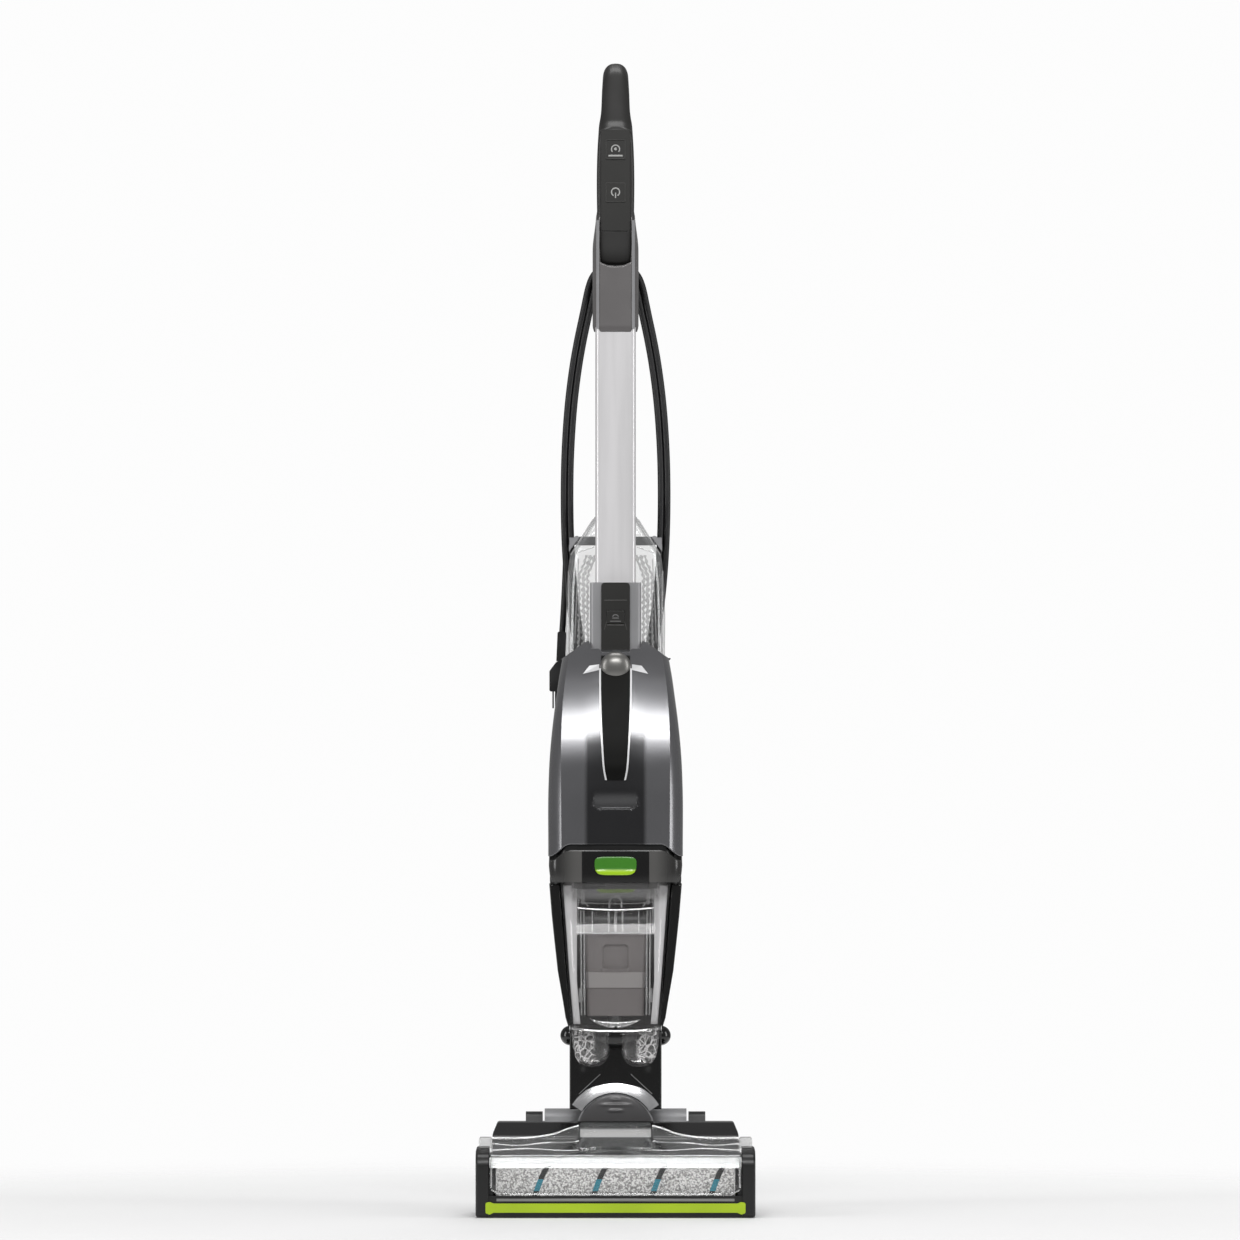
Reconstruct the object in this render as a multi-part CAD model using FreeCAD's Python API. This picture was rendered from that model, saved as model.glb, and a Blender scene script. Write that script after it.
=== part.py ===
import FreeCAD, Part
import math
import os

from FreeCAD import Matrix, Vector

# Upright wet floor and carpet washer, in millimetres.
# +Z is up, -Y is the front (the brush side), X is across the machine.
# The origin is on the floor under the middle of the machine.

# ---- driving sizes ----
overall_height = 1164.0
overall_depth = 266.0
foot_width = 280.0
wall = 2.5              # moulded plastic wall
fit_gap = 0.4           # between pieces that part or slide
run_gap = 0.05          # radial, round pieces that turn in each other

# floor head
front_y = -overall_depth / 2
cap_width = 13.2        # each end cap, across
brush_radius = 26.0
brush_lift = 0.5        # pile to floor
brush_gap = 8.0         # behind the brush, to the motor block
block_back_y = 0.0      # rear of the motor block
block_height = 60.0
skid_height = 2.5
bumper_depth = 3.0
cover_top_z = 92.0
window_bottom_z = 22.4
web_wall = 4.5          # side plates that carry the brush
web_top_z = 42.0
rail_back = 8.0         # front rail's rear face, from the front
motor_radius = 17.0
pinion_radius = 6.0
pulley_radius = 14.0
belt_thickness = 1.6
belt_width = 5.0
hose_radius = 13.5
hose_z = 30.0
wheel_radius = 26.0
wheel_width = 14.0
axle_radius = 4.0

# recline and steering joint
recline_y = 58.0
recline_z = 79.0
barrel_radius = 23.0
barrel_outer_x = 72.0
pin_radius = 9.0
lug_width = 17.0
lug_radius = 20.0
disc_radius = 40.0
disc_drop = 25.0        # the disc is cut flat this far under its centre
disc_front_y = 10.0
plate_front_y = 12.0
plate_thickness = 21.0
stub_radius = 12.0

# neck and body
neck_half = 46.5
neck_top_z = 182.0
column_bottom_rise = 52.0
split_y = 56.0          # front and rear body shells meet here
seam_step = 1.2         # the rear shell stands this much inside the front one
body_back_y = 101.0
lid_bottom_z = 333.0
body_bottom_z = 366.0
body_top_z = 566.0
body_half = 68.0
board_y = 61.8          # rear face of the control board
pump_back_y = 90.0
boiler_back_y = 95.0
suction_axis_y = 22.0   # upright axis of the suction motor and its fan
bay_floor_z = 468.0
bay_top_z = 560.0
bay_half = 47.5         # pocket that holds the clean water tank
collar_top_z = 636.0
collar_half = 26.0

# handle
tube_width = 41.0
tube_depth = 24.0
tube_front_y = 26.0
tube_wall = 1.6
handle_base_z = overall_height - 274.0
handle_half = 23.3
column_half = 17.6
hook_y = overall_depth / 2
panel_thickness = 2.0
panel_front_y = 25.6

# dirty water tank
cup_wall = 2.2
latch_half = 21.5

# power cord, wound on the two hooks
cord_diameter = 6.5
hank_layers = 4
hank_columns = 2
hook_radius = 16.5
hook_flange = 4.5       # thickness of each hook's plate

hood_front_y = front_y + 4.0
brush_y = hood_front_y + wall + 2.5 + brush_radius
brush_z = brush_radius + brush_lift
brush_top_z = brush_z + brush_radius
cap_height = brush_top_z + 15.5
block_front_y = brush_y + brush_radius + brush_gap
block_depth = block_back_y - block_front_y
inner_half = foot_width / 2 - cap_width
wheel_y = recline_y + 6.0
lug_inner_x = barrel_outer_x + 2.0
lug_outer_x = lug_inner_x + lug_width
wheel_inner_x = lug_outer_x + 2.5
motor_y = block_front_y + block_depth * 0.53
motor_z = 32.0
tube_back_y = tube_front_y + tube_depth
tube_half = tube_width / 2
hank_depth = hank_layers * cord_diameter
hank_front_y = hook_y - hook_flange - fit_gap - hank_depth
hank_width = hank_columns * cord_diameter
hank_fold = hook_radius + 1.0
upper_hook_z = handle_base_z + 44.0
lower_hook_z = bay_floor_z + 47.0
column_base_z = handle_base_z + 66.0
column_top_z = handle_base_z + 213.0
button_levels = (column_base_z + 75, column_base_z + 118)

parts = {}


# ---- shape helpers ----
def box(x0, x1, y0, y1, z0, z1):
    return Part.makeBox(x1 - x0, y1 - y0, z1 - z0, Vector(x0, y0, z0))


def rod(radius, start, axis, length):
    return Part.makeCylinder(radius, length, Vector(*start), Vector(*axis))


def both_sides(shape):
    return shape.fuse(shape.mirror(Vector(0, 0, 0), Vector(1, 0, 0)))


def rounded_wire(corners, place):
    """Closed wire through (a, b, radius) corners; place(a, b) puts a flat point in space."""
    edges, ends = [], []
    count = len(corners)
    for i in range(count):
        a, b, radius = corners[i]
        here = Vector(a, b, 0)
        before = Vector(corners[i - 1][0], corners[i - 1][1], 0) - here
        after = Vector(corners[(i + 1) % count][0], corners[(i + 1) % count][1], 0) - here
        before.normalize()
        after.normalize()
        half_angle = before.getAngle(after) / 2
        if radius <= 0 or abs(half_angle - math.pi / 2) < 1e-6:
            ends.append((here, None, here))
            continue
        reach = radius / math.tan(half_angle)
        middle = before + after
        middle.normalize()
        top = here + middle * (radius / math.sin(half_angle) - radius)
        ends.append((here + before * reach, top, here + after * reach))
    for i in range(count):
        start, top, finish = ends[i]
        following = ends[(i + 1) % count][0]
        if top is not None:
            points = [place(p.x, p.y) for p in (start, top, finish)]
            edges.append(Part.Arc(*points).toShape())
        if (following - finish).Length > 1e-6:
            edges.append(Part.LineSegment(place(finish.x, finish.y), place(following.x, following.y)).toShape())
    return Part.Wire(edges)


def across(corners, x0, x1):
    """Side outline in Y and Z, extruded across the machine from x0 to x1."""
    wire = rounded_wire(corners, lambda a, b: Vector(x0, a, b))
    return Part.Face(wire).extrude(Vector(x1 - x0, 0, 0))


def through(corners, y0, y1):
    """Front outline in X and Z, extruded front to back from y0 to y1."""
    wire = rounded_wire(corners, lambda a, b: Vector(a, y0, b))
    return Part.Face(wire).extrude(Vector(0, y1 - y0, 0))


def mirrored(corners):
    """Right half of a front outline, listed upwards, closed with its mirror image."""
    return list(corners) + [(-a, b, r) for a, b, r in reversed(corners)]


def stack(sections, inset=0.0):
    """Loft of rounded rectangles (z, half width, front y, back y, corner radius), taken in by inset."""
    wires = []
    for z, half, front, back, radius in sections:
        h, f, k = half - inset, front + inset, back - inset
        r = max(radius - inset, 0.8)
        corners = [(-h, f, r), (h, f, r), (h, k, r), (-h, k, r)]
        wires.append(rounded_wire(corners, lambda a, b, level=z: Vector(a, b, level)))
    return Part.makeLoft(wires, True, True)


def at_height(table, z):
    """Straight-line reading of a (z, value) table, held at its ends."""
    if z <= table[0][0]:
        return table[0][1]
    for (z0, v0), (z1, v1) in zip(table, table[1:]):
        if z <= z1:
            return v0 + (v1 - v0) * (z - z0) / (z1 - z0)
    return table[-1][1]


def keep(name, shape):
    parts[name] = shape.removeSplitter()


# ---- floor head ----
def foot_chassis():
    front, back = block_front_y, block_back_y
    block = box(-inner_half, inner_half, front, back, skid_height, block_height)
    hollow = box(-inner_half + 6, inner_half - 6, front + wall, back - wall, skid_height + wall, block_height + 1)
    body = block.cut(hollow)
    skid = box(-inner_half + 16, inner_half - 16, front + 2, front + 12, 0, skid_height)
    rail = box(-inner_half, inner_half, front_y + bumper_depth, front_y + rail_back, 1, window_bottom_z - fit_gap)
    web = box(inner_half - web_wall, inner_half, front_y + rail_back, front, 1, web_top_z)
    arm_top = recline_z + lug_radius
    arm_back = recline_y + lug_radius
    arm = across([(back - wall, 6, 0), (arm_back, 6, 10), (arm_back, arm_top, lug_radius - 0.1),
                  (recline_y - lug_radius, arm_top, 12), (back + fit_gap, block_height, 0),
                  (back - wall, block_height, 0)], lug_inner_x, lug_outer_x)
    tie = box(-lug_inner_x, lug_inner_x, back - wall, arm_back - 8, 6, 10)
    saddle = box(40, 46, motor_y - 12, motor_y + 12, skid_height, motor_z)
    body = body.fuse([skid, rail, both_sides(web), both_sides(arm), tie, both_sides(saddle)])
    motor_seat = rod(motor_radius + run_gap, (-60, motor_y, motor_z), (1, 0, 0), 114)
    pin_bore = rod(pin_radius + run_gap, (-foot_width / 2, recline_y, recline_z), (1, 0, 0), foot_width)
    axle_bore = rod(axle_radius + run_gap, (-foot_width / 2, wheel_y, wheel_radius), (1, 0, 0), foot_width)
    brush_bore = rod(5.0 + run_gap, (-foot_width / 2, brush_y, brush_z), (1, 0, 0), foot_width)
    shaft_bore = rod(4.0, (-inner_half - 1, motor_y, motor_z), (1, 0, 0), 10)
    outlet = rod(hose_radius + run_gap, (0, back - 6, hose_z), (0, 1, 0), 12)
    slot = box(-35, 35, front - 1, front + wall + 1, 26, 56)
    keep("foot_chassis", body.cut([pin_bore, axle_bore, brush_bore, shaft_bore, outlet, slot, motor_seat]))


def end_caps():
    inner = inner_half + fit_gap / 2
    outer = foot_width / 2
    profile = [(front_y + 1, 0.6, 4), (front_y + 1, cap_height - 6, 14), (front_y + 24, cap_height, 16),
               (block_back_y - 34, cap_height, 14), (block_back_y - 6, 30, 12), (block_back_y - 6, 0.6, 4)]
    shell = across(profile, inner, outer)
    edges = [e for e in shell.Edges if abs(e.BoundBox.XMin - outer) < 1e-3 and abs(e.BoundBox.XMax - outer) < 1e-3]
    shell = shell.makeFillet(2.5, edges)
    pocket = across([(front_y + 4, 4, 3), (front_y + 4, cap_height - 12, 10), (front_y + 22, cap_height - 4, 10),
                     (block_back_y - 40, cap_height - 4, 10), (block_back_y - 10, 28, 8), (block_back_y - 10, 4, 3)],
                    inner - 1, outer - wall)
    right = shell.cut(pocket)
    keep("end_cap_right", right)
    keep("end_cap_left", right.mirror(Vector(0, 0, 0), Vector(1, 0, 0)))


def front_bumper():
    half = inner_half + 3.2
    flare = 8.0
    outline = mirrored([(half - flare, 5.4, 2), (half - flare * 0.5, 3.4, 1.5), (half, 5, 2), (half, 15.5, 2),
                        (half - flare * 0.6, 16, 1.5), (half - flare, 14.6, 2)])
    keep("front_bumper", through(outline, front_y, front_y + bumper_depth - fit_gap / 2)
         .cut(parts["end_cap_left"]).cut(parts["end_cap_right"]))


def rear_cover():
    front, back = block_front_y, block_back_y
    bottom = block_height + fit_gap / 2
    top = cover_top_z
    half = inner_half - 3

    def solid(inset):
        side = across([(front + inset, bottom - inset * 2, 0), (back - inset, bottom - inset * 2, 0),
                       (back - inset, top - inset, 6), (front + 30, top - inset, 12), (front + inset, 78 - inset, 6)],
                      -half, half)
        face = through(mirrored([(half - inset, bottom - inset * 2, 0), (half - inset, 80, 4),
                                 (half - 5 - inset, top - inset, 3)]), front - 2, back + 2)
        return side.common(face)

    duct_slot = box(-38, 38, front - 1, front + 44, brush_top_z + 11.5, top + 1)
    keep("rear_cover", solid(0).cut(solid(wall)).cut(duct_slot))


def brush_window():
    front = hood_front_y
    back = block_front_y - 1
    half = inner_half - fit_gap
    brow_z, crown_z, rear_z = brush_top_z - 2.5, brush_top_z + 13.5, brush_top_z + 26.5

    def skin(inset):
        return across([(front + inset, window_bottom_z - inset, 0), (front + inset, brow_z - inset, 16),
                       (front + 30, crown_z - inset, 18), (back - inset * 0.5, rear_z - inset, 3),
                       (back - inset * 0.5, window_bottom_z - inset, 0)], -half + inset, half - inset)

    shell = skin(0).cut(skin(wall)).cut(box(-half + wall, half - wall, back - 6, back + 1, 20, block_height + 4))
    shell = shell.cut(box(-half - 1, half + 1, back - 3, back + 1, 20, block_height + 1))
    web_room = box(inner_half - web_wall - fit_gap, inner_half, front + wall, back + 1, 0, web_top_z + fit_gap)
    shell = shell.cut(both_sides(web_room))
    ear = box(half - wall, foot_width / 2 - 3, front + 34, back, cap_height + fit_gap, rear_z)
    duct_back = block_front_y + 42
    duct = box(-36, 36, back - 2, duct_back, crown_z, cover_top_z - 1)
    duct = duct.cut(box(-36 + wall, 36 - wall, back - 3, duct_back - wall, crown_z + wall, cover_top_z - 1 - wall))
    duct = duct.cut(skin(wall))
    keep("brush_window", shell.fuse([both_sides(ear), duct]))


def brush():
    length = inner_half - 7
    stub = rod(5.0, (-foot_width / 2 + 4, brush_y, brush_z), (1, 0, 0), foot_width - 8)
    core = rod(brush_radius - 8, (-length, brush_y, brush_z), (1, 0, 0), 2 * length)
    core = core.cut(rod(brush_radius - 11, (-length + 6, brush_y, brush_z), (1, 0, 0), 2 * length - 12))
    pulley = rod(pulley_radius, (-foot_width / 2 + 5.5, brush_y, brush_z), (1, 0, 0), belt_width + 1)
    keep("brush_core", core.fuse([stub, pulley]))
    pile = rod(brush_radius, (-length, brush_y, brush_z), (1, 0, 0), 2 * length)
    keep("brush_pile", pile.cut(rod(brush_radius - 8, (-length - 1, brush_y, brush_z), (1, 0, 0), 2 * length + 2)))


def brush_drive():
    keep("brush_motor", rod(motor_radius, (-58, motor_y, motor_z), (1, 0, 0), 110)
         .cut(rod(3.0, (-59, motor_y, motor_z), (1, 0, 0), 14)))
    shaft = rod(2.5, (-foot_width / 2 + 5, motor_y, motor_z), (1, 0, 0), foot_width / 2 - 5 - 46)
    pinion = rod(pinion_radius, (-foot_width / 2 + 5.5, motor_y, motor_z), (1, 0, 0), belt_width + 1)
    keep("motor_pinion", shaft.fuse(pinion))
    keep("drive_belt", belt_loop(fit_gap / 2 + belt_thickness).cut(belt_loop(fit_gap / 2)))


def belt_loop(offset):
    """Filled belt outline round the two pulleys, grown by offset."""
    x0 = -foot_width / 2 + 6
    big, small = pulley_radius + offset, pinion_radius + offset
    gap = math.hypot(motor_y - brush_y, motor_z - brush_z)
    tilt = math.atan2(motor_z - brush_z, motor_y - brush_y)
    lean = math.acos((big - small) / gap)
    ends = []
    for side in (1, -1):
        turn = tilt + side * lean
        ends.append(Vector(x0, brush_y + big * math.cos(turn), brush_z + big * math.sin(turn)))
        ends.append(Vector(x0, motor_y + small * math.cos(turn), motor_z + small * math.sin(turn)))
    far_big = Vector(x0, brush_y - big * math.cos(tilt), brush_z - big * math.sin(tilt))
    far_small = Vector(x0, motor_y + small * math.cos(tilt), motor_z + small * math.sin(tilt))
    edges = [Part.LineSegment(ends[0], ends[1]).toShape(), Part.Arc(ends[1], far_small, ends[3]).toShape(),
             Part.LineSegment(ends[3], ends[2]).toShape(), Part.Arc(ends[2], far_big, ends[0]).toShape()]
    return Part.Face(Part.Wire(edges)).extrude(Vector(belt_width, 0, 0))


def foot_small_parts():
    strip = box(-inner_half + 9, inner_half - 9, block_front_y - 2.6, block_front_y - fit_gap / 2, 0.5, 15)
    keep("squeegee", strip)
    axle = rod(axle_radius, (lug_inner_x + 3, wheel_y, wheel_radius), (1, 0, 0), lug_width + wheel_width + 1)
    head = rod(axle_radius + 2, (wheel_inner_x + wheel_width + 0.5, wheel_y, wheel_radius), (1, 0, 0), 2)
    keep("wheel_axles", both_sides(axle.fuse(head)))


def wheels():
    tyre = rod(wheel_radius, (wheel_inner_x, wheel_y, wheel_radius), (1, 0, 0), wheel_width)
    tyre = tyre.makeFillet(3.0, [e for e in tyre.Edges if e.Curve.TypeId == "Part::GeomCircle"])
    groove = rod(wheel_radius - 8, (wheel_inner_x + wheel_width - 3, wheel_y, wheel_radius), (1, 0, 0), 4)
    groove = groove.cut(rod(9, (wheel_inner_x + wheel_width - 4, wheel_y, wheel_radius), (1, 0, 0), 6))
    bore = rod(axle_radius + run_gap, (wheel_inner_x - 1, wheel_y, wheel_radius), (1, 0, 0), wheel_width + 2)
    right = tyre.cut([groove, bore])
    keep("wheel_right", right)
    keep("wheel_left", right.mirror(Vector(0, 0, 0), Vector(1, 0, 0)))


# ---- recline and steering joint ----
def trunnion():
    centre = (recline_y, recline_z)
    barrel = rod(barrel_radius, (-barrel_outer_x, *centre), (1, 0, 0), 2 * barrel_outer_x)
    pins = rod(pin_radius, (-lug_outer_x + 2, *centre), (1, 0, 0), 2 * lug_outer_x - 4)
    disc = rod(disc_radius, (0, disc_front_y, recline_z), (0, 1, 0), plate_front_y + plate_thickness + 1 - disc_front_y)
    link = rod(30, (0, plate_front_y + plate_thickness, recline_z), (0, 1, 0), 49)
    stub = rod(stub_radius, (0, plate_front_y + plate_thickness + 48, recline_z), (0, 1, 0), 19)
    lower = box(-disc_radius, disc_radius, 0, 60, recline_z - 60, recline_z - disc_drop)
    hollow = rod(18, (0, disc_front_y + 4, recline_z), (0, 1, 0), 56)
    keep("trunnion", barrel.fuse([pins, disc, link, stub]).cut([lower, hollow]))
    cap = rod(disc_radius - 1, (0, disc_front_y - 3.6, recline_z), (0, 1, 0), 3.6)
    cap = cap.cut(box(-disc_radius, disc_radius, 0, 60, recline_z - 60, recline_z - disc_drop + 1))
    keep("trunnion_cap", cap)


def neck():
    plate_back = plate_front_y + plate_thickness
    column_back = plate_back + 51
    leg_bottom = recline_z + 24
    column_bottom = recline_z + column_bottom_rise
    front = through(mirrored([(neck_half, leg_bottom, 0), (neck_half, neck_top_z, 0)]), plate_front_y, plate_back)
    front = front.cut(rod(disc_radius + fit_gap, (0, 0, recline_z), (0, 1, 0), 60))
    column = box(-neck_half, neck_half, plate_back, column_back, column_bottom, neck_top_z)
    column = column.cut(box(-neck_half + 4, neck_half - 4, plate_back + 3, column_back - 4,
                            column_bottom + 4, neck_top_z - 4))
    duct_way = rod(17, (0, recline_y + 14, column_bottom - 5), (0, 0, 1), 80)
    back = through(mirrored([(20, recline_z, 0), (26, neck_top_z, 0)]), column_back, column_back + 12)
    back = back.fuse(rod(20, (0, column_back, recline_z), (0, 1, 0), 12))
    pivot = rod(stub_radius + run_gap, (0, column_back - 1, recline_z), (0, 1, 0), 20)
    bolt_y, bolt_z = 30.0, neck_top_z - 5
    bolt_holes = both_sides(rod(4.0, (36, bolt_y, bolt_z), (1, 0, 0), neck_half - 35))
    keep("neck_yoke", front.fuse([column, back]).cut([pivot, duct_way, bolt_holes]))
    shank = rod(3.8, (38, bolt_y, bolt_z), (1, 0, 0), neck_half - 37)
    dome = Part.makeSphere(10.0, Vector(neck_half - 0.6, bolt_y, bolt_z))
    dome = dome.cut(box(0, neck_half + fit_gap / 4, bolt_y - 20, bolt_y + 20, bolt_z - 20, bolt_z + 20))
    keep("neck_bolt_caps", both_sides(shank.fuse(dome)))
    keep("swivel_nut", rod(19, (0, column_back + 12 + fit_gap, recline_z), (0, 1, 0), 3.4)
         .cut(rod(stub_radius - 2, (0, column_back, recline_z), (0, 1, 0), 30))
         .cut(parts["trunnion"]))


def suction_hose():
    """Short bellows from the floor head's outlet to the underside of the swivelling block."""
    start, length = block_back_y - wall, 30.0
    sleeve = rod(hose_radius, (0, start, hose_z), (0, 1, 0), length)
    ribs = [rod(hose_radius + 1.8, (0, start + 5.5 + 5 * i, hose_z), (0, 1, 0), 2.4) for i in range(5)]
    keep("suction_hose", sleeve.fuse(ribs).cut(rod(hose_radius - 2, (0, start - 1, hose_z), (0, 1, 0), length + 2)))


# ---- body ----
shell_half = [(body_bottom_z, body_half), (430, 67.8), (460, 66.5), (490, 63.8), (520, 60.0), (545, 56.4),
              (body_top_z, 52.0)]
shell_front = [(body_bottom_z, -26), (400, -26), (430, -25), (460, -20.5), (490, -11), (520, 1), (545, 12),
               (body_top_z, 19)]


def front_sections(raise_by=0.0):
    levels = sorted({z for z, _ in shell_half} | {z for z, _ in shell_front})
    return [(z + raise_by, at_height(shell_half, z), at_height(shell_front, z), split_y + 20, 16.0) for z in levels]


def shoulder_cut(drop=0.0):
    """What lies above the sloping shoulders of the upper body."""
    inner_z, outer_z = 580.0 - drop, 553.0 - drop
    wedge = through([(collar_half - 2, inner_z, 0), (80, outer_z - 12, 0), (80, 640, 0), (collar_half - 2, 640, 0)],
                    -60, 140)
    return both_sides(wedge)


def body_front():
    outer = stack(front_sections()).cut(shoulder_cut())
    inner = stack(front_sections(), wall).cut(shoulder_cut(wall))
    inner = inner.common(box(-200, 200, -100, 200, body_bottom_z + wall, body_top_z - wall))
    behind = box(-200, 200, split_y - fit_gap / 2, 300, 0, 900)
    intake = rod(18, (0, suction_axis_y, body_bottom_z - 5), (0, 0, 1), 12)
    cradle = rod(39, (0, suction_axis_y, body_bottom_z + 1), (0, 0, 1), 34)
    cradle = cradle.cut(rod(36 + run_gap, (0, suction_axis_y, body_bottom_z), (0, 0, 1), 36))
    shell = outer.cut(inner).fuse(cradle).cut([behind, intake, collar_solid(fit_gap / 2)])
    keep("body_front_shell", shell)
    return stack(front_sections())


def rear_sections():
    low = [(neck_top_z + fit_gap, 46, 97, 8), (240, 55, 99, 10), (lid_bottom_z, body_half - seam_step, body_back_y, 12)]
    high = [(z, at_height(shell_half, z) - seam_step, body_back_y, 14) for z in (430, 460, 490, 520, 545, bay_top_z)]
    return [(z, half, split_y, back, radius) for z, half, back, radius in low + high]


def body_rear():
    outer = stack(rear_sections())
    inner = stack(rear_sections(), wall).common(
        box(-200, 200, -100, 300, neck_top_z + wall + fit_gap, bay_floor_z - wall))
    bay = stack([(bay_floor_z, bay_half, split_y + wall, body_back_y - wall, 12),
                 (bay_top_z + 5, bay_half, split_y + wall, body_back_y - wall, 12)])
    doorway = box(-56, 56, split_y - 5, split_y + 6, body_bottom_z + 6, bay_floor_z - 8)
    inner_back = body_back_y - wall + 0.5
    bosses = [rod(3.2, (x, board_y, z), (0, 1, 0), inner_back - board_y) for x in (-34, 34) for z in (206, 279)]
    bosses.append(box(-12, 12, pump_back_y, inner_back, 312, 336))
    bosses.append(box(-30, 30, boiler_back_y, inner_back, 386, 440))
    bosses = [boss.common(outer) for boss in bosses]
    keep("body_rear_shell", outer.cut([inner, bay, doorway]).fuse(bosses))


def side_rails():
    outer = [(48, neck_top_z + 6), (50.5, 196), (53, 212), (58.5, 244), (62, 276), (64.5, 300), (67, 331)]
    inner = [(56.6, 331), (49.9, 240), (45.6, neck_top_z + 6)]
    rail = through([(x, z, 0) for x, z in outer + inner], -8, split_y - fit_gap)
    rail = rail.makeFillet(1.2, [e for e in rail.Edges if e.BoundBox.YMax < -7.9])
    keep("side_rail_right", rail)
    keep("side_rail_left", rail.mirror(Vector(0, 0, 0), Vector(1, 0, 0)))


def spine(front_solid):
    """Dark centre strip down the front of the body, with its rounded nose, and the bright trim beside it."""
    top, bottom = body_top_z - 2, 437.0

    def band(proud):
        fronts = [(at_height(shell_front, z) - proud, z) for z in (bottom, 460, 490, 520, 545, top)]
        return [(y, z, 0) for y, z in fronts] + [(y + 14, z, 0) for y, z in reversed(fronts)]

    strip = across(band(4.0), -30, 30)
    outline = mirrored([(9.5, bottom, 3), (12.5, 470, 0), (14.5, 520, 0), (14.5, top, 0)])
    cover = strip.common(through(outline, -60, 60))
    nose = Part.makeSphere(15.0, Vector(0, 0, 0))
    squash = Matrix()
    squash.scale(0.97, 0.62, 1.0)
    nose = nose.transformGeometry(squash)
    nose.translate(Vector(0, at_height(shell_front, 551) - 3, 551))
    cover = cover.fuse(nose).cut(front_solid).cut(collar_solid(fit_gap / 2))
    keep("spine_cover", cover)
    ribbon = across(band(5.0), -30, 30)
    wide = mirrored([(11.2, bottom - 1, 3), (14.2, 470, 0), (16.2, 520, 0), (16.2, 549, 0)])
    trim = ribbon.common(through(wide, -60, 60)).cut(front_solid).cut(cover)
    grown = through(mirrored([(9.6, bottom - 4, 0), (12.6, 470, 0), (14.6, 520, 0), (14.6, top + 9, 0)]), -60, 60)
    keep("spine_trim", trim.cut(grown))


def collar_solid(grow=0.0):
    return box(-collar_half - grow, collar_half + grow, tube_front_y - 3 - grow, split_y - fit_gap - 0.4,
               body_top_z - 32 - grow, collar_top_z)


def tube_collar():
    solid = collar_solid()
    upright = [e for e in solid.Edges if abs(e.BoundBox.ZLength - (collar_top_z - body_top_z + 32)) < 1e-3]
    solid = solid.makeFillet(5.0, [e for e in upright if e.BoundBox.YMax < tube_back_y])
    socket = tube_solid(tube_half + 0.1, tube_depth / 2 + 0.1, body_top_z - 28, collar_top_z + 2)
    keep("tube_collar", solid.cut(socket))


def tube_solid(half, half_depth, z0, z1):
    middle = tube_front_y + tube_depth / 2
    return stack([(z0, half, middle - half_depth, middle + half_depth, 5.0),
                  (z1, half, middle - half_depth, middle + half_depth, 5.0)])


def handle_tube():
    low, high = body_top_z - 26, handle_base_z + 40
    solid = tube_solid(tube_half, tube_depth / 2, low, high)
    keep("handle_tube", solid.cut(tube_solid(tube_half - tube_wall, tube_depth / 2 - tube_wall, low - 1, high + 1)))


def insert_panel():
    back = tube_front_y - 3 - fit_gap / 2
    outline = mirrored([(14.5, body_top_z + 2, 0), (14.5, collar_top_z, 4)])
    panel = through(outline, back - 4.2, back)
    well = box(-9.5, 9.5, back - 6, back + 1, body_top_z + 28, body_top_z + 42)
    keep("insert_panel", panel.cut([well, parts["spine_cover"]]))
    button = box(-9.2, 9.2, back - 4.6, back - 1.6, body_top_z + 28.3, body_top_z + 41.7)
    keep("rinse_button", button.makeFillet(0.8, [e for e in button.Edges if e.BoundBox.YMax < back - 4.5]))


def inner_works():
    motor = rod(36, (0, suction_axis_y, 388), (0, 0, 1), 66)
    motor = motor.fuse(rod(24, (0, suction_axis_y, 454), (0, 0, 1), 8))
    keep("suction_motor", motor.cut(rod(3 + run_gap, (0, suction_axis_y, 386), (0, 0, 1), 10)))
    fan = rod(32, (0, suction_axis_y, 373), (0, 0, 1), 3)
    blades = [box(8, 31, -0.8, 0.8, 376, 384).rotate(Vector(0, 0, 0), Vector(0, 0, 1), 45 * i) for i in range(8)]
    for blade in blades:
        blade.translate(Vector(0, suction_axis_y, 0))
    fan = fan.fuse(blades + [rod(8.5, (0, suction_axis_y, 376), (0, 0, 1), 8),
                             rod(3, (0, suction_axis_y, 384), (0, 0, 1), 10)])
    keep("suction_fan", fan)
    boiler = box(-40, 40, boiler_back_y - 31, boiler_back_y, 376, 452)
    boiler = boiler.makeFillet(6, [e for e in boiler.Edges if abs(e.BoundBox.XLength - 80) < 1e-3])
    keep("steam_boiler", boiler)
    keep("water_pump", box(-17, 17, pump_back_y - 28, pump_back_y, 304, 342)
         .fuse(rod(9, (0, pump_back_y - 14, 290), (0, 0, 1), 14)))
    board = box(-38, 38, board_y - 1.6, board_y, 200, 285)
    chips = [box(-26, -10, board_y, board_y + 8, 216, 236), box(-6, 20, board_y, board_y + 4, 244, 266),
             rod(7, (18, board_y, 225), (0, 1, 0), 18)]
    keep("control_board", board.fuse(chips))


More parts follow.
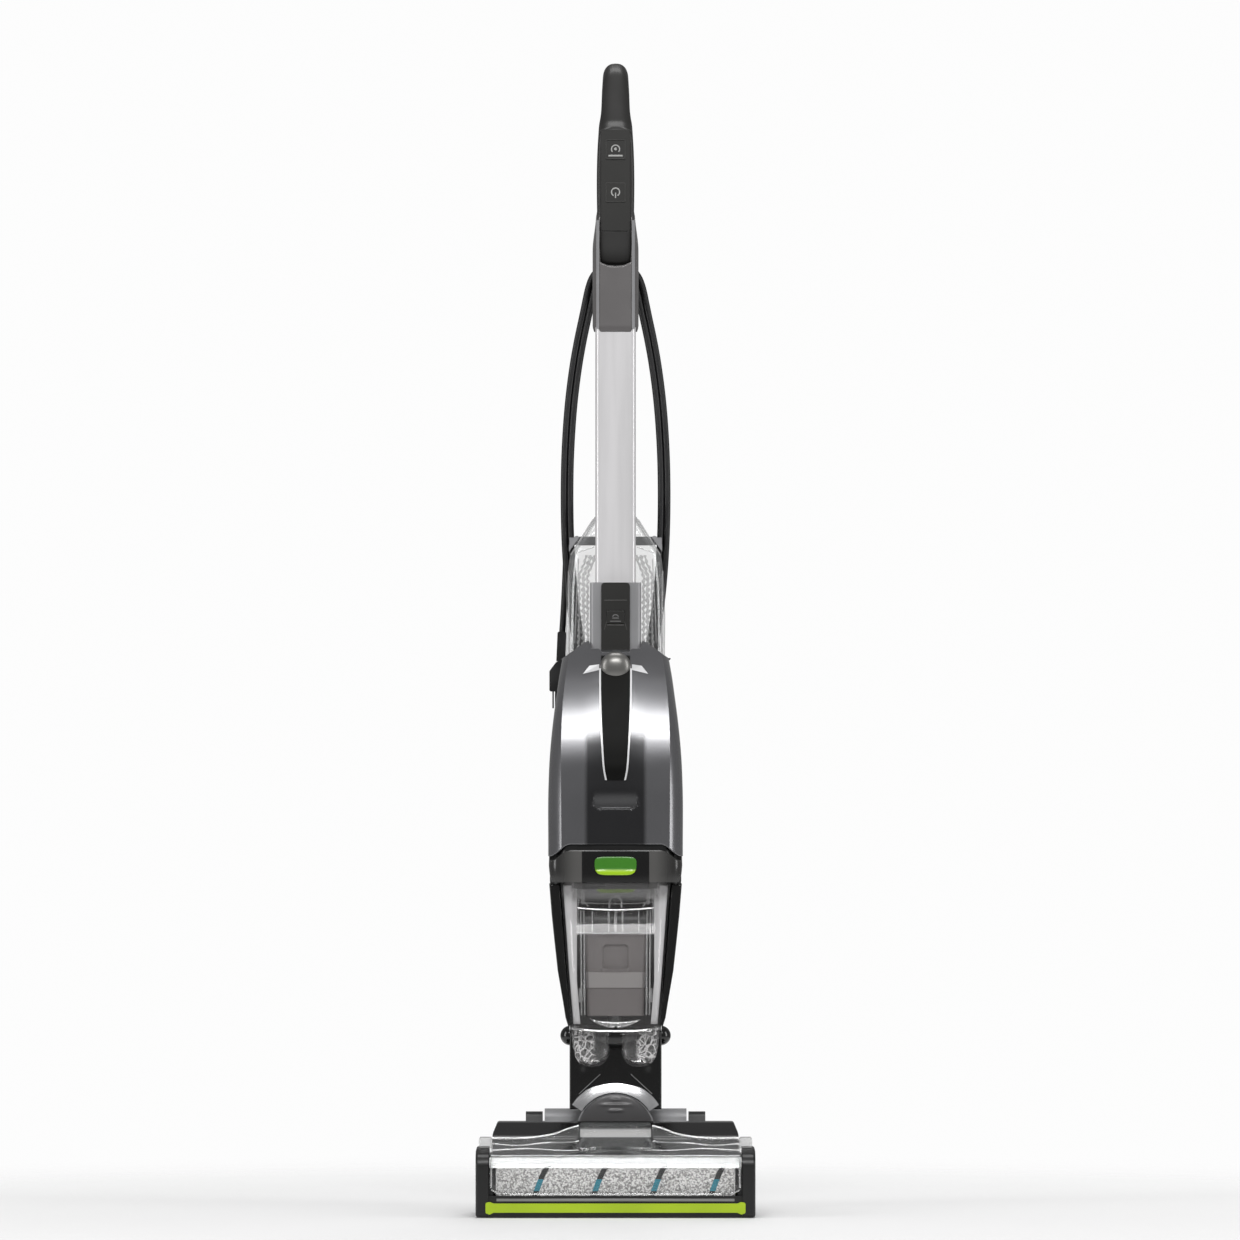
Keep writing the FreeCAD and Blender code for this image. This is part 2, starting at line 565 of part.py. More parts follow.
# ---- handle ----
def handle():
    base, top = handle_base_z, column_base_z + 57
    middle_back = 86.0
    side = across([(24, base, 3), (tube_back_y + 6, base, 8), (middle_back, base + 34, 12), (middle_back, base + 78, 8),
                   (60, base + 84, 10), (44, top, 8), (28, top, 4), (24, column_base_z - 2, 2)], -40, 40)
    face = through(mirrored([(handle_half, base, 5), (handle_half, base + 82, 10), (19.6, top, 3)]), 0, 120)
    shell = side.common(face)
    core = box(-column_half - fit_gap, column_half + fit_gap, 0, 62, column_base_z, top + 20)
    core_back = box(-column_half - fit_gap, column_half + fit_gap, 61, 120, base + 56, top + 20)
    socket = tube_solid(tube_half + 0.1, tube_depth / 2 + 0.1, base - 2, base + 40.2)
    cavity = box(-18, 18, tube_back_y + 3, middle_back - 4, base + 34, base + 52)
    bore = rod(7 + run_gap, (0, middle_back - 14, upper_hook_z), (0, 1, 0), 20)
    keep("handle_shell", shell.cut([core, core_back, socket, cavity, bore]))


def grip_outline(window):
    """Side outline of the closed hand loop, or of the window inside it."""
    b = column_base_z
    top = overall_height
    if window:
        return [(56, b + 46, 10), (52, column_top_z + 2, 16), (76, top - 28, 12), (96, top - 46, 14), (88, b + 62, 14),
                (76, b + 42, 8)]
    return [(27, b + 1, 4), (27, b + 30, 10), (26, column_top_z - 8, 10), (33, column_top_z + 4, 12), (70, top, 16),
            (106, top, 28), (118, top - 40, 22), (106, b + 40, 24), (84, b - 8, 10), (63, b - 8, 3),
            (63, b + 1, 0)]


def grip():
    outer = across(grip_outline(False), -40, 40)
    hole = across(grip_outline(True), -40, 40)
    z0 = handle_base_z + 50
    face = through(mirrored([(column_half, z0, 0), (column_half, column_top_z - 4, 6), (15.4, column_top_z + 4, 6),
                             (12.2, overall_height, 7)]), 0, 200)
    loop = outer.cut(hole).common(face)
    soft = [e for e in loop.Edges if e.BoundBox.YMin > 60 and e.BoundBox.ZMin > column_base_z + 60]
    loop = loop.makeFillet(4.0, soft)
    recess = box(-14.8, 14.8, 20, panel_front_y + panel_thickness, column_base_z + 36, column_top_z - 8)
    for level in button_levels:
        recess = recess.fuse(box(-9.9, 9.9, 20, panel_front_y + panel_thickness + 3, level - 10, level + 10))
    trigger_well = box(-8.6, 8.6, 40, 60, column_base_z + 84, column_base_z + 128)
    pin_bore = rod(1.5 + run_gap, (-12, 52, column_base_z + 124), (1, 0, 0), 24)
    keep("grip_loop", loop.cut([recess, trigger_well, pin_bore]))


def controls():
    front = panel_front_y
    z0, z1 = column_base_z + 36.3, column_top_z - 8.3
    panel = box(-14.5, 14.5, front, front + panel_thickness, z0, z1)
    panel = panel.makeFillet(2.5, [e for e in panel.Edges if abs(e.BoundBox.YLength - panel_thickness) < 1e-3])
    wells = []
    for name, level in zip(("power_button", "mode_button"), button_levels):
        wells.append(box(-9.8, 9.8, front - 1, front + panel_thickness + 1, level - 10, level + 10))
        button = box(-9.5, 9.5, front - 0.4, front + panel_thickness, level - 9.7, level + 9.7)
        keep(name, button.makeFillet(0.3, [e for e in button.Edges if e.BoundBox.YMax < front - 0.3]))
    keep("control_panel", panel.cut(wells))
    pivot_z = column_base_z + 124
    lever = across([(47, pivot_z - 36, 2), (57, pivot_z - 36, 4), (58.5, pivot_z - 14, 8), (55, pivot_z + 2.5, 2),
                    (49, pivot_z + 2.5, 2)], -8.2, 8.2)
    keep("spray_trigger", lever.fuse(rod(1.5, (-11, 52, pivot_z), (1, 0, 0), 22)))


# ---- cord storage and cord ----
def hook(name, root_y, level, up):
    """Round post with a flat flange past the wound cord; up is +1 or -1."""
    post = rod(hook_radius, (0, root_y + fit_gap, level), (0, 1, 0), hook_y - root_y - fit_gap - 1)
    post = post.cut(rod(hook_radius - 3, (0, root_y + 8, level), (0, 1, 0), hook_y - root_y))
    reach = hank_fold + hank_width + 2.0
    flange = through([(-12, level - up * 12, 3), (12, level - up * 12, 3), (10, level + up * reach, 6),
                      (-10, level + up * reach, 6)], hook_y - hook_flange, hook_y)
    shape = post.fuse(flange)
    if name == "upper_cord_hook":
        shape = shape.fuse(rod(7, (0, root_y - 12, level), (0, 1, 0), 14))
    keep(name, shape)


def hank_outline(offset, y):
    """Closed smooth loop round both hooks, belly out between them; offset grows it evenly."""
    middle = (upper_hook_z + lower_hook_z) / 2
    half_length = (upper_hook_z - lower_hook_z) / 2
    belly = 43.2
    points = []
    for angle in (-90, -45, 0):
        a = math.radians(angle)
        points.append(((hank_fold + offset) * math.cos(a), lower_hook_z + (hank_fold + offset) * math.sin(a)))
    for share in (-0.84, -0.68, -0.5, -0.3, 0.0, 0.3, 0.5, 0.68, 0.84):
        width = hank_fold + (belly - hank_fold) * (1 - abs(share) ** 2.3)
        points.append((width + offset, middle + share * half_length))
    for angle in (0, 45, 90):
        a = math.radians(angle)
        points.append(((hank_fold + offset) * math.cos(a), upper_hook_z + (hank_fold + offset) * math.sin(a)))
    points += [(-x, z) for x, z in reversed(points[1:-1])]
    curve = Part.BSplineCurve()
    curve.interpolate([Vector(x, y, z) for x, z in points], PeriodicFlag=True)
    return Part.Face(Part.Wire(curve.toShape()))


def cord():
    outer = hank_outline(hank_width, hank_front_y).extrude(Vector(0, hank_depth, 0))
    inner = hank_outline(0.0, hank_front_y - 1).extrude(Vector(0, hank_depth + 2, 0))
    keep("cord_hank", outer.cut(inner))


def cord_run(points):
    """Round cord along straight runs joined by tangent arcs; prints each radius."""
    edges, here = [], points[0]
    for i in range(1, len(points) - 1):
        before = points[i - 1] - points[i]
        after = points[i + 1] - points[i]
        half_turn = (math.pi - before.getAngle(after)) / 2
        tangent = 0.45 * min(before.Length, after.Length)
        radius = tangent / math.tan(half_turn)
        print(f"cord radius {radius:.1f} mm")
        before.normalize()
        after.normalize()
        start, finish = points[i] + before * tangent, points[i] + after * tangent
        middle = before + after
        middle.normalize()
        top = points[i] + middle * (radius / math.cos(half_turn) - radius)
        edges.append(Part.LineSegment(here, start).toShape())
        edges.append(Part.Arc(start, top, finish).toShape())
        here = finish
    edges.append(Part.LineSegment(here, points[-1]).toShape())
    path = Part.Wire(edges)
    circle = Part.Circle(points[0], points[1] - points[0], cord_diameter / 2)
    tube = path.makePipeShell([Part.Wire(circle.toShape())], True, True)
    share = tube.Volume / (math.pi * cord_diameter ** 2 / 4 * path.Length)
    print(f"cord run {path.Length:.1f} mm, volume over section times length {share:.3f}")
    return tube


def cord_ends():
    gland_x, gland_y, gland_z = 43.0, hank_front_y + hank_depth / 2, 436.0
    boss = box(gland_x - 8, gland_x + 8, body_back_y + fit_gap / 2, gland_y + 8, gland_z - 16, gland_z)
    boot = Part.makeCone(6.4, 4.4, 30, Vector(gland_x, gland_y, gland_z))
    bore = rod(cord_diameter / 2 + 0.02, (gland_x, gland_y, gland_z - 10), (0, 0, 1), 50)
    keep("cord_gland", boss.fuse(boot).cut(bore))
    lead = [Vector(gland_x, gland_y, 440), Vector(gland_x, gland_y, 480), Vector(41.6, gland_y, 514),
            Vector(41.0, gland_y, 550), Vector(42.5, gland_y, 586)]
    keep("cord_lead", cord_run(lead).cut(parts["cord_hank"]))
    tail = [Vector(-50.4, gland_y, 664), Vector(-51.5, gland_y, 636), Vector(-52.9, gland_y, 607),
            Vector(-54.9, gland_y, 578)]
    keep("cord_tail", cord_run(tail).cut(parts["cord_hank"]))
    head = through([(-67.5, 525, 2), (-56.5, 525, 2), (-51.5, 556, 2), (-60, 556, 4), (-67.5, 546, 3)],
                   gland_y - 11, gland_y + 11)
    boot = through([(-60.5, 556, 0), (-51, 556, 0), (-50.4, 586, 1.5), (-59.2, 586, 1.5)], gland_y - 5.5, gland_y + 5.5)
    prongs = [box(-64.5, -63.0, gland_y + s * 6.3 - 3.1, gland_y + s * 6.3 + 3.1, 508, 526) for s in (-1, 1)]
    prongs.append(rod(2.4, (-59.5, gland_y, 508), (0, 0, 1), 18))
    keep("plug", head.fuse([boot] + prongs).cut(parts["cord_tail"]))


# ---- tanks ----
cup_upper = [(186, 44.6, -16, 48, 12), (240, 48.9, -20, 50, 14), (lid_bottom_z, 55.6, -24, 52, 16)]
cup_lower = [(150, 38.5, -10, 8.5, 7), (168, 43.0, -14, 9.5, 9), (190, 44.7, -16.3, 9.5, 10)]


def dirty_tank():
    notch = through(mirrored([(7, 140, 0), (11, 154, 3), (6, 161, 3)]), -60, 60)
    outer = stack(cup_upper).fuse(stack(cup_lower).cut(notch))
    raised = [(z + (cup_wall if z < 200 else 0.01), h, f, k, r) for z, h, f, k, r in cup_upper]
    lower_in = [(z + (cup_wall if z < 160 else 0), h, f, k, r) for z, h, f, k, r in cup_lower]
    notch_in = through(mirrored([(9.2, 140, 0), (13.2, 156, 3), (8, 163.4, 3)]), -60, 60)
    inner = stack(raised, cup_wall).fuse(stack(lower_in, cup_wall).cut(notch_in))
    riser = rod(9, (0, 38.5, 187), (0, 0, 1), 110)
    keep("dirty_tank_cup", outer.cut(inner).fuse(riser).cut(rod(7.4, (0, 38.5, 180), (0, 0, 1), 120)))
    low, high = lid_bottom_z + 0.3, body_bottom_z - 0.5
    lid = stack([(low, 64, -25.5, 52, 14), (low + 10, 66.5, -27, 53, 14), (high - 4, 67.5, -27.6, 54, 14),
                 (high, 66.5, -26.6, 53, 13)])
    hollow = stack([(low - 1, 53, -19.4, 49, 12), (high - wall, 53, -19.4, 49, 12)])
    well = box(-latch_half - fit_gap, latch_half + fit_gap, -40, -21.9, low + 6.4, low + 27)
    keep("tank_lid", lid.cut([hollow, well]))
    button = through(mirrored([(latch_half - 3, low + 7, 3), (latch_half, low + 26, 1.5)]), -29.5, -26.0)
    keep("tank_latch", button.fuse(box(-12, 12, -26.5, -25.6, low + 10, low + 22)))
    keep("tank_seal", stack([(lid_bottom_z - 6, 52.2, -21.0, 49.0, 12), (lid_bottom_z, 52.2, -21.0, 49.0, 12)]).cut(
        stack([(lid_bottom_z - 7, 49.5, -18.3, 46.3, 10), (lid_bottom_z + 1, 49.5, -18.3, 46.3, 10)])))
    pleats = box(-46, 46, -12, 42, low + 5, high - wall)
    grooves = [box(-43 + 8 * i, -39 + 8 * i, -9, 39, low + 4, low + 9) for i in range(11)]
    keep("tank_filter", pleats.cut(grooves))
    shroud = stack([(196, 29, -8, 24, 5), (292, 32, -10, 26, 5)])
    shroud = shroud.cut(stack([(195, 26.6, -5.6, 21.6, 4), (289, 29.6, -7.6, 23.6, 4)]))
    band = stack([(292, 36.5, -12, 28, 4), (311, 36.5, -12, 28, 4)])
    band = band.cut(box(-33, 33, -13, -9, 295, 308)).cut(box(-33, 33, -9.5, 25, 294, 312))
    stem = rod(9, (0, 8, 294), (0, 0, 1), low + 5 - 294).cut(rod(7, (0, 8, 280), (0, 0, 1), 80))
    keep("separator", shroud.fuse([band, stem]))
    keep("float_ball", Part.makeSphere(8.5, Vector(0, 8, 262)))


bay_front_y = split_y + wall + fit_gap
tank_back_y = body_back_y - wall - fit_gap
tank_half = bay_half - fit_gap
tank_sections = [(bay_floor_z + fit_gap, tank_half - 2, bay_front_y, tank_back_y, 9),
                 (bay_top_z, tank_half, bay_front_y, tank_back_y, 11),
                 (bay_top_z + 3, tank_half + 3, split_y + fit_gap, tank_back_y, 12),
                 (615, tank_half + 3.3, split_y + fit_gap, tank_back_y, 13),
                 (649, tank_half + 0.9, split_y + fit_gap, tank_back_y, 13),
                 (665, tank_half - 0.9, split_y + fit_gap, tank_back_y - 0.6, 12),
                 (682, 34.5, split_y + 1, tank_back_y - 3, 11), (703, 21.0, split_y + 2.5, tank_back_y - 6, 9)]


def clean_tank():
    outer = stack(tank_sections)
    inner_rows = [(z + (cup_wall if i == 0 else -cup_wall if i == len(tank_sections) - 1 else 0), h, f, k, r)
                  for i, (z, h, f, k, r) in enumerate(tank_sections)]
    mouth = rod(12, (0, 75, 695), (0, 0, 1), 20)
    keep("clean_tank_shell", outer.cut([stack(inner_rows, cup_wall), mouth]))
    cap = rod(15.5, (0, 75, 703.3), (0, 0, 1), 11).fuse(rod(11.6, (0, 75, 698), (0, 0, 1), 6))
    flutes = [rod(1.6, (0, 0, 705), (0, 0, 1), 12) for _ in range(16)]
    for i, flute in enumerate(flutes):
        a = 2 * math.pi * i / 16
        flute.translate(Vector(16.2 * math.cos(a), 75 + 16.2 * math.sin(a), 0))
    keep("clean_tank_cap", cap.cut(flutes))
    wing = through([(36.6, 682.5, 0), (47.4, 667.5, 0), (47.4, 674.5, 2), (40.5, 684.5, 3)], 72, 96)
    bar = box(-37, 37, 96.6, 100.0, 674, 683)
    link = box(34, 47, 94, 100.0, 674.5, 682)
    keep("clean_tank_handle", both_sides(wing.fuse(link)).fuse(bar).cut(stack(tank_sections)))


def body_screws():
    heads = []
    for x, z in ((38, 215), (-38, 215), (50, 350), (-50, 350), (46, 452), (-46, 452)):
        back = 97.2 if z < 230 else body_back_y
        heads.append(rod(3.6, (x, back + 0.6 + (0.9 if z < 230 else 0), z), (0, 1, 0), 1.6)
                     .cut(box(x - 0.5, x + 0.5, back, back + 6, z - 2.4, z + 2.4)))
    keep("body_screws", Part.makeCompound(heads))


# ---- build ----
foot_chassis()
end_caps()
front_bumper()
rear_cover()
brush_window()
brush()
brush_drive()
foot_small_parts()
wheels()
trunnion()
neck()
suction_hose()
front_solid = body_front()
body_rear()
side_rails()
spine(front_solid)
tube_collar()
handle_tube()
insert_panel()
inner_works()
handle()
grip()
controls()
hook("upper_cord_hook", 86.0, upper_hook_z, 1)
hook("lower_cord_hook", body_back_y, lower_hook_z, -1)
cord()
cord_ends()
dirty_tank()
clean_tank()
body_screws()

os.makedirs("parts", exist_ok=True)
for name, shape in sorted(parts.items()):
    solids = shape.Solids
    valid = all(s.isValid() and s.isClosed() for s in solids)
    print(f"{name:22s} solids {len(solids)} valid {valid} volume {shape.Volume / 1000:.1f} cm3")
    shape.exportStep(os.path.join("parts", name + ".step"))
print(len(parts), "nodes")
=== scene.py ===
import math

import bmesh
import bpy
import numpy as np
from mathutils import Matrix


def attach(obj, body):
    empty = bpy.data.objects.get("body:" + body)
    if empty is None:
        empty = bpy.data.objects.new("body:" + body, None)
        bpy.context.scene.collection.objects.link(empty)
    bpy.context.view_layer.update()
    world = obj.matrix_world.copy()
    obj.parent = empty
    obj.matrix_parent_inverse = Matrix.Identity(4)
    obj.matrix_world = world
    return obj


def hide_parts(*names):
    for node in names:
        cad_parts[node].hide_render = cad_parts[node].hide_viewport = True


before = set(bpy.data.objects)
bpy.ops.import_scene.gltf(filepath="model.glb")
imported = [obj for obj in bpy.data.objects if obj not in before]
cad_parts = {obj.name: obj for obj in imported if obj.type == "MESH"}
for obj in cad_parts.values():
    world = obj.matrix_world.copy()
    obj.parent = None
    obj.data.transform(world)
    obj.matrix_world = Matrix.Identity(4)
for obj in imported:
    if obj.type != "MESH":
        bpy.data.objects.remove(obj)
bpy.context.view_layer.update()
mm = 0.001
print("frame loaded:", len(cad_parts), "nodes")

# camera and light
studio = {
    "aim": (0.0045, 0.598),         # x and z in the middle of the picture
    "distance": 12.0,
    "fieldWidth": 1.24,             # metres across at the front of the floor head
    "frontPlane": -0.13,
    "backdropSeen": 0.98,           # brightness of the backdrop itself
    "backdropGlow": 0.22,           # and of its light on the machine
    "floorSolid": 0.30,             # the floor fades out from this radius to the next
    "floorGone": 1.3,
}

softboxes = {                       # place, aim, width and height in metres, power in watts
    "bandBox": ((0.0, -2.95, 2.45), (0, -0.02, 0.52), 2.3, 0.62, 62),
    "leftBox": ((-2.6, -1.2, 1.0), (0, 0, 0.6), 0.7, 2.3, 26),
    "rightBox": ((2.6, -1.0, 1.0), (0, 0, 0.6), 0.7, 2.3, 23),
    "topBox": ((0.0, 0.2, 3.0), (0, 0, 0.3), 1.6, 1.2, 28),
    "backBox": ((0.4, 2.9, 1.5), (0, 0, 0.55), 1.8, 1.6, 48),
}


def addObject(name, data):
    made = bpy.data.objects.new(name, data)
    bpy.context.scene.collection.objects.link(made)
    return made


def addCamera():
    camera = addObject("camera", bpy.data.cameras.new("camera"))
    camera.data.sensor_width = 36
    camera.data.lens = 36 * studio["distance"] / studio["fieldWidth"]
    camera.data.clip_end = 100
    camera.location = (studio["aim"][0], studio["frontPlane"] - studio["distance"], studio["aim"][1])
    camera.rotation_euler = (math.radians(90), 0, 0)
    bpy.context.scene.camera = camera
    bpy.context.scene.view_settings.view_transform = "Standard"


def addSoftbox(name, place, target, width, height, power):
    light = addObject(name, bpy.data.lights.new(name, "AREA"))
    light.data.shape = "RECTANGLE"
    light.data.size, light.data.size_y = width, height
    light.data.energy = power
    x, y, z = np.array(target, float) - np.array(place, float)
    light.location = place
    light.rotation_euler = (math.atan2(math.hypot(x, y), -z), 0, math.atan2(y, x) - math.pi / 2)
    light.visible_glossy = name != "backBox"      # the one behind leaves the front's gloss alone


addCamera()
for name, numbers in softboxes.items():
    addSoftbox(name, *numbers)


# node sheets
class Wire:  # one socket of a node sheet; sums of wires add Math nodes
    def __init__(self, sheet, socket=None):
        self.sheet, self.socket = sheet, socket

    def node(self, kind, settings=None, inputs=None, out=0):
        made = self.sheet.nodes.new(kind)
        for key, value in (settings or {}).items():
            setattr(made, key, value)
        for key, value in (inputs or {}).items():
            setSocket(value, made.inputs[key])
        return Wire(self.sheet, made.outputs[out])

    def maths(self, operation, first, second=0.0):
        return self.node("ShaderNodeMath", {"operation": operation}, {0: first, 1: second})

    def __add__(self, other): return self.maths("ADD", self, other)
    def __radd__(self, other): return self.maths("ADD", other, self)
    def __sub__(self, other): return self.maths("SUBTRACT", self, other)
    def __rsub__(self, other): return self.maths("SUBTRACT", other, self)
    def __mul__(self, other): return self.maths("MULTIPLY", self, other)
    def __rmul__(self, other): return self.maths("MULTIPLY", other, self)
    def __pow__(self, other): return self.maths("POWER", self, other)

    def size(self): return self.maths("ABSOLUTE", self)

    def between(self, low, high):  # 0 at low, 1 at high, smooth on the way
        return self.node("ShaderNodeMapRange", {"interpolation_type": "SMOOTHSTEP"},
                         {"Value": self, "From Min": low, "From Max": high})

    def band(self, low, high, edge):  # 1 from low to high, fading over an edge beyond low and before high
        return self.between(low, low + edge) * (1 - self.between(high - edge, high))

    def blend(self, first, second):  # two colours, by this wire
        return self.node("ShaderNodeMix", {"data_type": "RGBA"}, {0: self, 6: first, 7: second}, out=2)


def setSocket(value, socket):  # a wire is linked, a number goes on the socket itself
    if isinstance(value, Wire):
        value.sheet.links.new(value.socket, socket)
    else:
        socket.default_value = value


def feed(shader, **values):
    for key, value in values.items():
        setSocket(value, shader.inputs[key.replace("_", " ")])


def sheetOf(name):
    material = bpy.data.materials.new(name)
    material.use_nodes = True
    place = Wire(material.node_tree).node("ShaderNodeTexCoord", out="Object")
    return material, material.node_tree.nodes["Principled BSDF"], place


def noise(place, scale, detail=2.0, out=0):
    return place.node("ShaderNodeTexNoise", {}, {"Vector": place, "Scale": scale, "Detail": detail}, out)


def cells(place, scale, feature="F1"):
    return place.node("ShaderNodeTexVoronoi", {"feature": feature}, {"Vector": place, "Scale": scale}, "Distance")


def axis(place, letter):
    return place.node("ShaderNodeSeparateXYZ", {}, {0: place}, out=letter)


def slantOf(place):
    return place.node("ShaderNodeLayerWeight", {}, {"Blend": 0.35}, out="Facing")


def bump(place, height, strength, depth=0.0002):
    return place.node("ShaderNodeBump", {}, {"Strength": strength, "Distance": depth, "Height": height})


def rgb(colour, share=1.0):
    return (*(c * share for c in colour), 1.0)


def grey(level):
    return rgb((level, level, level))


plastics = {   # linear colour, drift of tone in broad soft patches, roughness, metallic, coat, grain
    "shellGrey": ((0.150, 0.150, 0.158), 0.10, 0.24, 0.55, 0.8, 0.02),
    "handleGrey": ((0.150, 0.143, 0.143), 0.10, 0.38, 0.2, 0.1, 0.05),
    "domeGrey": ((0.085, 0.083, 0.085), 0.12, 0.36, 0.2, 0.1, 0.06),
    "lightGrey": ((0.34, 0.34, 0.35), 0.10, 0.36, 0.15, 0.2, 0.05),
    "blackGloss": ((0.004, 0.004, 0.004), 0.3, 0.16, 0.0, 0.35, 0.015),
    "blackSatin": ((0.007, 0.007, 0.007), 0.3, 0.36, 0.0, 0.0, 0.08),
    "gripBlack": ((0.018, 0.0172, 0.0165), 0.2, 0.43, 0.1, 0.1, 0.05),
    "panelBlack": ((0.012, 0.0115, 0.010), 0.2, 0.45, 0.0, 0.0, 0.08),
    "limeGreen": ((0.37, 0.53, 0.004), 0.10, 0.32, 0.0, 0.2, 0.04),
    "brownGrey": ((0.145, 0.130, 0.128), 0.10, 0.5, 0.0, 0.0, 0.08),
    "spineBlack": ((0.005, 0.005, 0.0045), 0.3, 0.5, 0.0, 0.0, 0.03),
    "noseSatin": ((0.24, 0.235, 0.225), 0.1, 0.34, 0.75, 0.0, 0.05),
    "paleTrim": ((0.72, 0.72, 0.73), 0.06, 0.3, 0.15, 0.1, 0.02),
    "stripGrey": ((0.22, 0.22, 0.22), 0.10, 0.35, 0.1, 0.1, 0.05),
    "palePrint": ((0.42, 0.42, 0.41), 0.10, 0.5, 0.0, 0.0, 0.03),
    "dimPrint": ((0.060, 0.058, 0.055), 0.15, 0.5, 0.0, 0.0, 0.03),
    "boardGreen": ((0.012, 0.10, 0.035), 0.3, 0.4, 0.0, 0.3, 0.2),
    "filterPaper": ((0.62, 0.61, 0.56), 0.15, 0.9, 0.0, 0.0, 0.5),
}
shine = {"spineBlack": 0.12}


def plasticFinish(name):
    # moulded plastic: a soft drift of tone, slightly uneven gloss and a fine moulded grain
    colour, drift, rough, metal, coat, grain = plastics[name]
    material, shader, place = sheetOf(name)
    feed(shader, Base_Color=noise(place, 14, 3).between(0.35, 0.65).blend(rgb(colour), rgb(colour, 1 - drift)),
         Roughness=rough + (noise(place, 55, 4) - 0.5) * 0.10, Normal=bump(place, noise(place, 1800, 1), grain),
         Metallic=metal, Coat_Weight=coat, Coat_Roughness=0.10, Specular_IOR_Level=shine.get(name, 0.5))
    return material


def shellFinish():
    # the front shell's metallic grey; the sunk middle panel between the two broad flats is darkened by a painted
    # reflection, and its finger scoop carries a paler painted highlight
    colour, drift, rough, metal, coat, grain = plastics["shellGrey"]
    material, shader, place = sheetOf("frontShellGrey")
    side, height = axis(place, "X").size(), axis(place, "Z")
    middle = (1 - side.between(0.027, 0.033)) * (1 - height.between(0.470, 0.492))
    sunk = height.between(0.4075, 0.4085) * (1 - height.between(0.412, 0.428))
    scoop = (1 - side.between(0.020, 0.0235)) * sunk
    # painted light: a dark painted reflection over the middle panel, a paler painted highlight inside the scoop
    paintedPanelReflection = scoop.blend(rgb((0.016, 0.016, 0.018)), rgb((0.070, 0.070, 0.073)))
    feed(shader, Base_Color=noise(place, 12, 2).between(0.3, 0.7).blend(
            middle.blend(rgb(colour), paintedPanelReflection), middle.blend(rgb(colour, 0.9), paintedPanelReflection)),
         Roughness=0.22 + (noise(place, 50, 3) - 0.5) * 0.06 + middle * 0.10,
         Normal=bump(place, noise(place, 2600, 1), 0.03, 0.0001),
         Metallic=metal, Coat_Weight=coat, Coat_Roughness=0.12)
    return material


metals = {     # colour, roughness, metallic, stretch of the streaks, their strength
    "tubeSilver": ((0.76, 0.75, 0.76), 0.34, 0.35, (60, 60, 4), 0.08),
    "brightTrim": ((0.80, 0.80, 0.82), 0.16, 0.8, (300, 300, 40), 0.05),
    "archSilver": ((0.60, 0.60, 0.61), 0.24, 0.85, (90, 90, 90), 0.08),
    "steel": ((0.45, 0.45, 0.46), 0.30, 1.0, (30, 700, 700), 0.12),
    "castCase": ((0.38, 0.39, 0.40), 0.45, 0.9, (300, 300, 300), 0.15),
}


def metalFinish(name):
    # drawn or brushed metal: noise stretched along the working direction moves gloss and tone
    colour, rough, metal, brush, streak = metals[name]
    material, shader, place = sheetOf(name)
    streaks = noise(place.node("ShaderNodeMapping", {}, {"Vector": place, "Scale": brush}), 1.0, 5)
    feed(shader, Base_Color=streaks.between(0.3, 0.7).blend(rgb(colour, 0.94), rgb(colour, 1.06)),
         Roughness=rough + (streaks - 0.5) * streak, Normal=bump(place, streaks, streak * 0.4), Metallic=metal)
    return material


clears = {     # tint, cover of its own shine, what a slanted wall adds to it, roughness, metallic
    "cupClear": ((0.80, 0.79, 0.79), 0.05, 0.50, 0.07, 0.85),
    "hoodClear": ((0.86, 0.87, 0.87), 0.055, 0.55, 0.05, 0.9),
    "tankClear": ((0.84, 0.85, 0.85), 0.08, 0.70, 0.06, 0.85),
    "ribClear": ((0.86, 0.86, 0.86), 0.40, 0.55, 0.12, 0.55),
    "frostClear": ((0.86, 0.85, 0.86), 0.62, 0.30, 0.35, 0.0),
}


def clearFinish(name):
    # clear moulded plastic: what it reflects lies as a thin veil, denser where the wall is seen edge on
    tint, thin, edge, rough, metal = clears[name]
    material, shader, place = sheetOf(name)
    haze = noise(place, 30, 3)
    veil = thin + (slantOf(place) ** 1.7) * edge + (haze - 0.5) * 0.05
    if name == "cupClear":
        # the two feet of the cup are filled with fine flow lines of the thick moulding
        height = axis(place, "Z")
        foot = (1 - height.between(0.176, 0.184)) * axis(place, "X").size().between(0.019, 0.025)
        swirl = noise(place, 90.0, out=1)
        swirl = place.node("ShaderNodeVectorMath", {"operation": "SCALE"}, {0: swirl, 3: 0.006})
        swirl = place.node("ShaderNodeVectorMath", {"operation": "ADD"}, {0: place, 1: swirl})
        veil = veil + foot * (1 - cells(swirl, 150, "DISTANCE_TO_EDGE").between(0.02, 0.10)) * 0.7
        veil = veil + height.between(0.311, 0.322) * 0.35
    feed(shader, Alpha=veil, Roughness=rough + haze * 0.06, Metallic=metal,
         Base_Color=haze.between(0.3, 0.7).blend(rgb(tint), rgb(tint, 0.9)))
    return material


def pileFinish():
    # short microfibre pile: pale tufts, grey speckle and shaded roots between them
    material, shader, place = sheetOf("pileFibre")
    tuft = cells(place, 520)
    tone = noise(place, 420, 2).between(0.47, 0.62).blend(rgb((0.95, 0.94, 0.93)), rgb((0.40, 0.39, 0.385)))
    feed(shader, Base_Color=tuft.between(0.35, 0.95).blend(tone, rgb((0.22, 0.215, 0.21))), Roughness=0.95,
         Normal=bump(place, noise(place, 1500, 3) * 0.6 - tuft, 0.9, 0.0012), Sheen_Weight=0.4)
    return material


bristleColours = {"bristleBlack": (0.004, 0.004, 0.004), "bristleTeal": (0.002, 0.22, 0.30)}


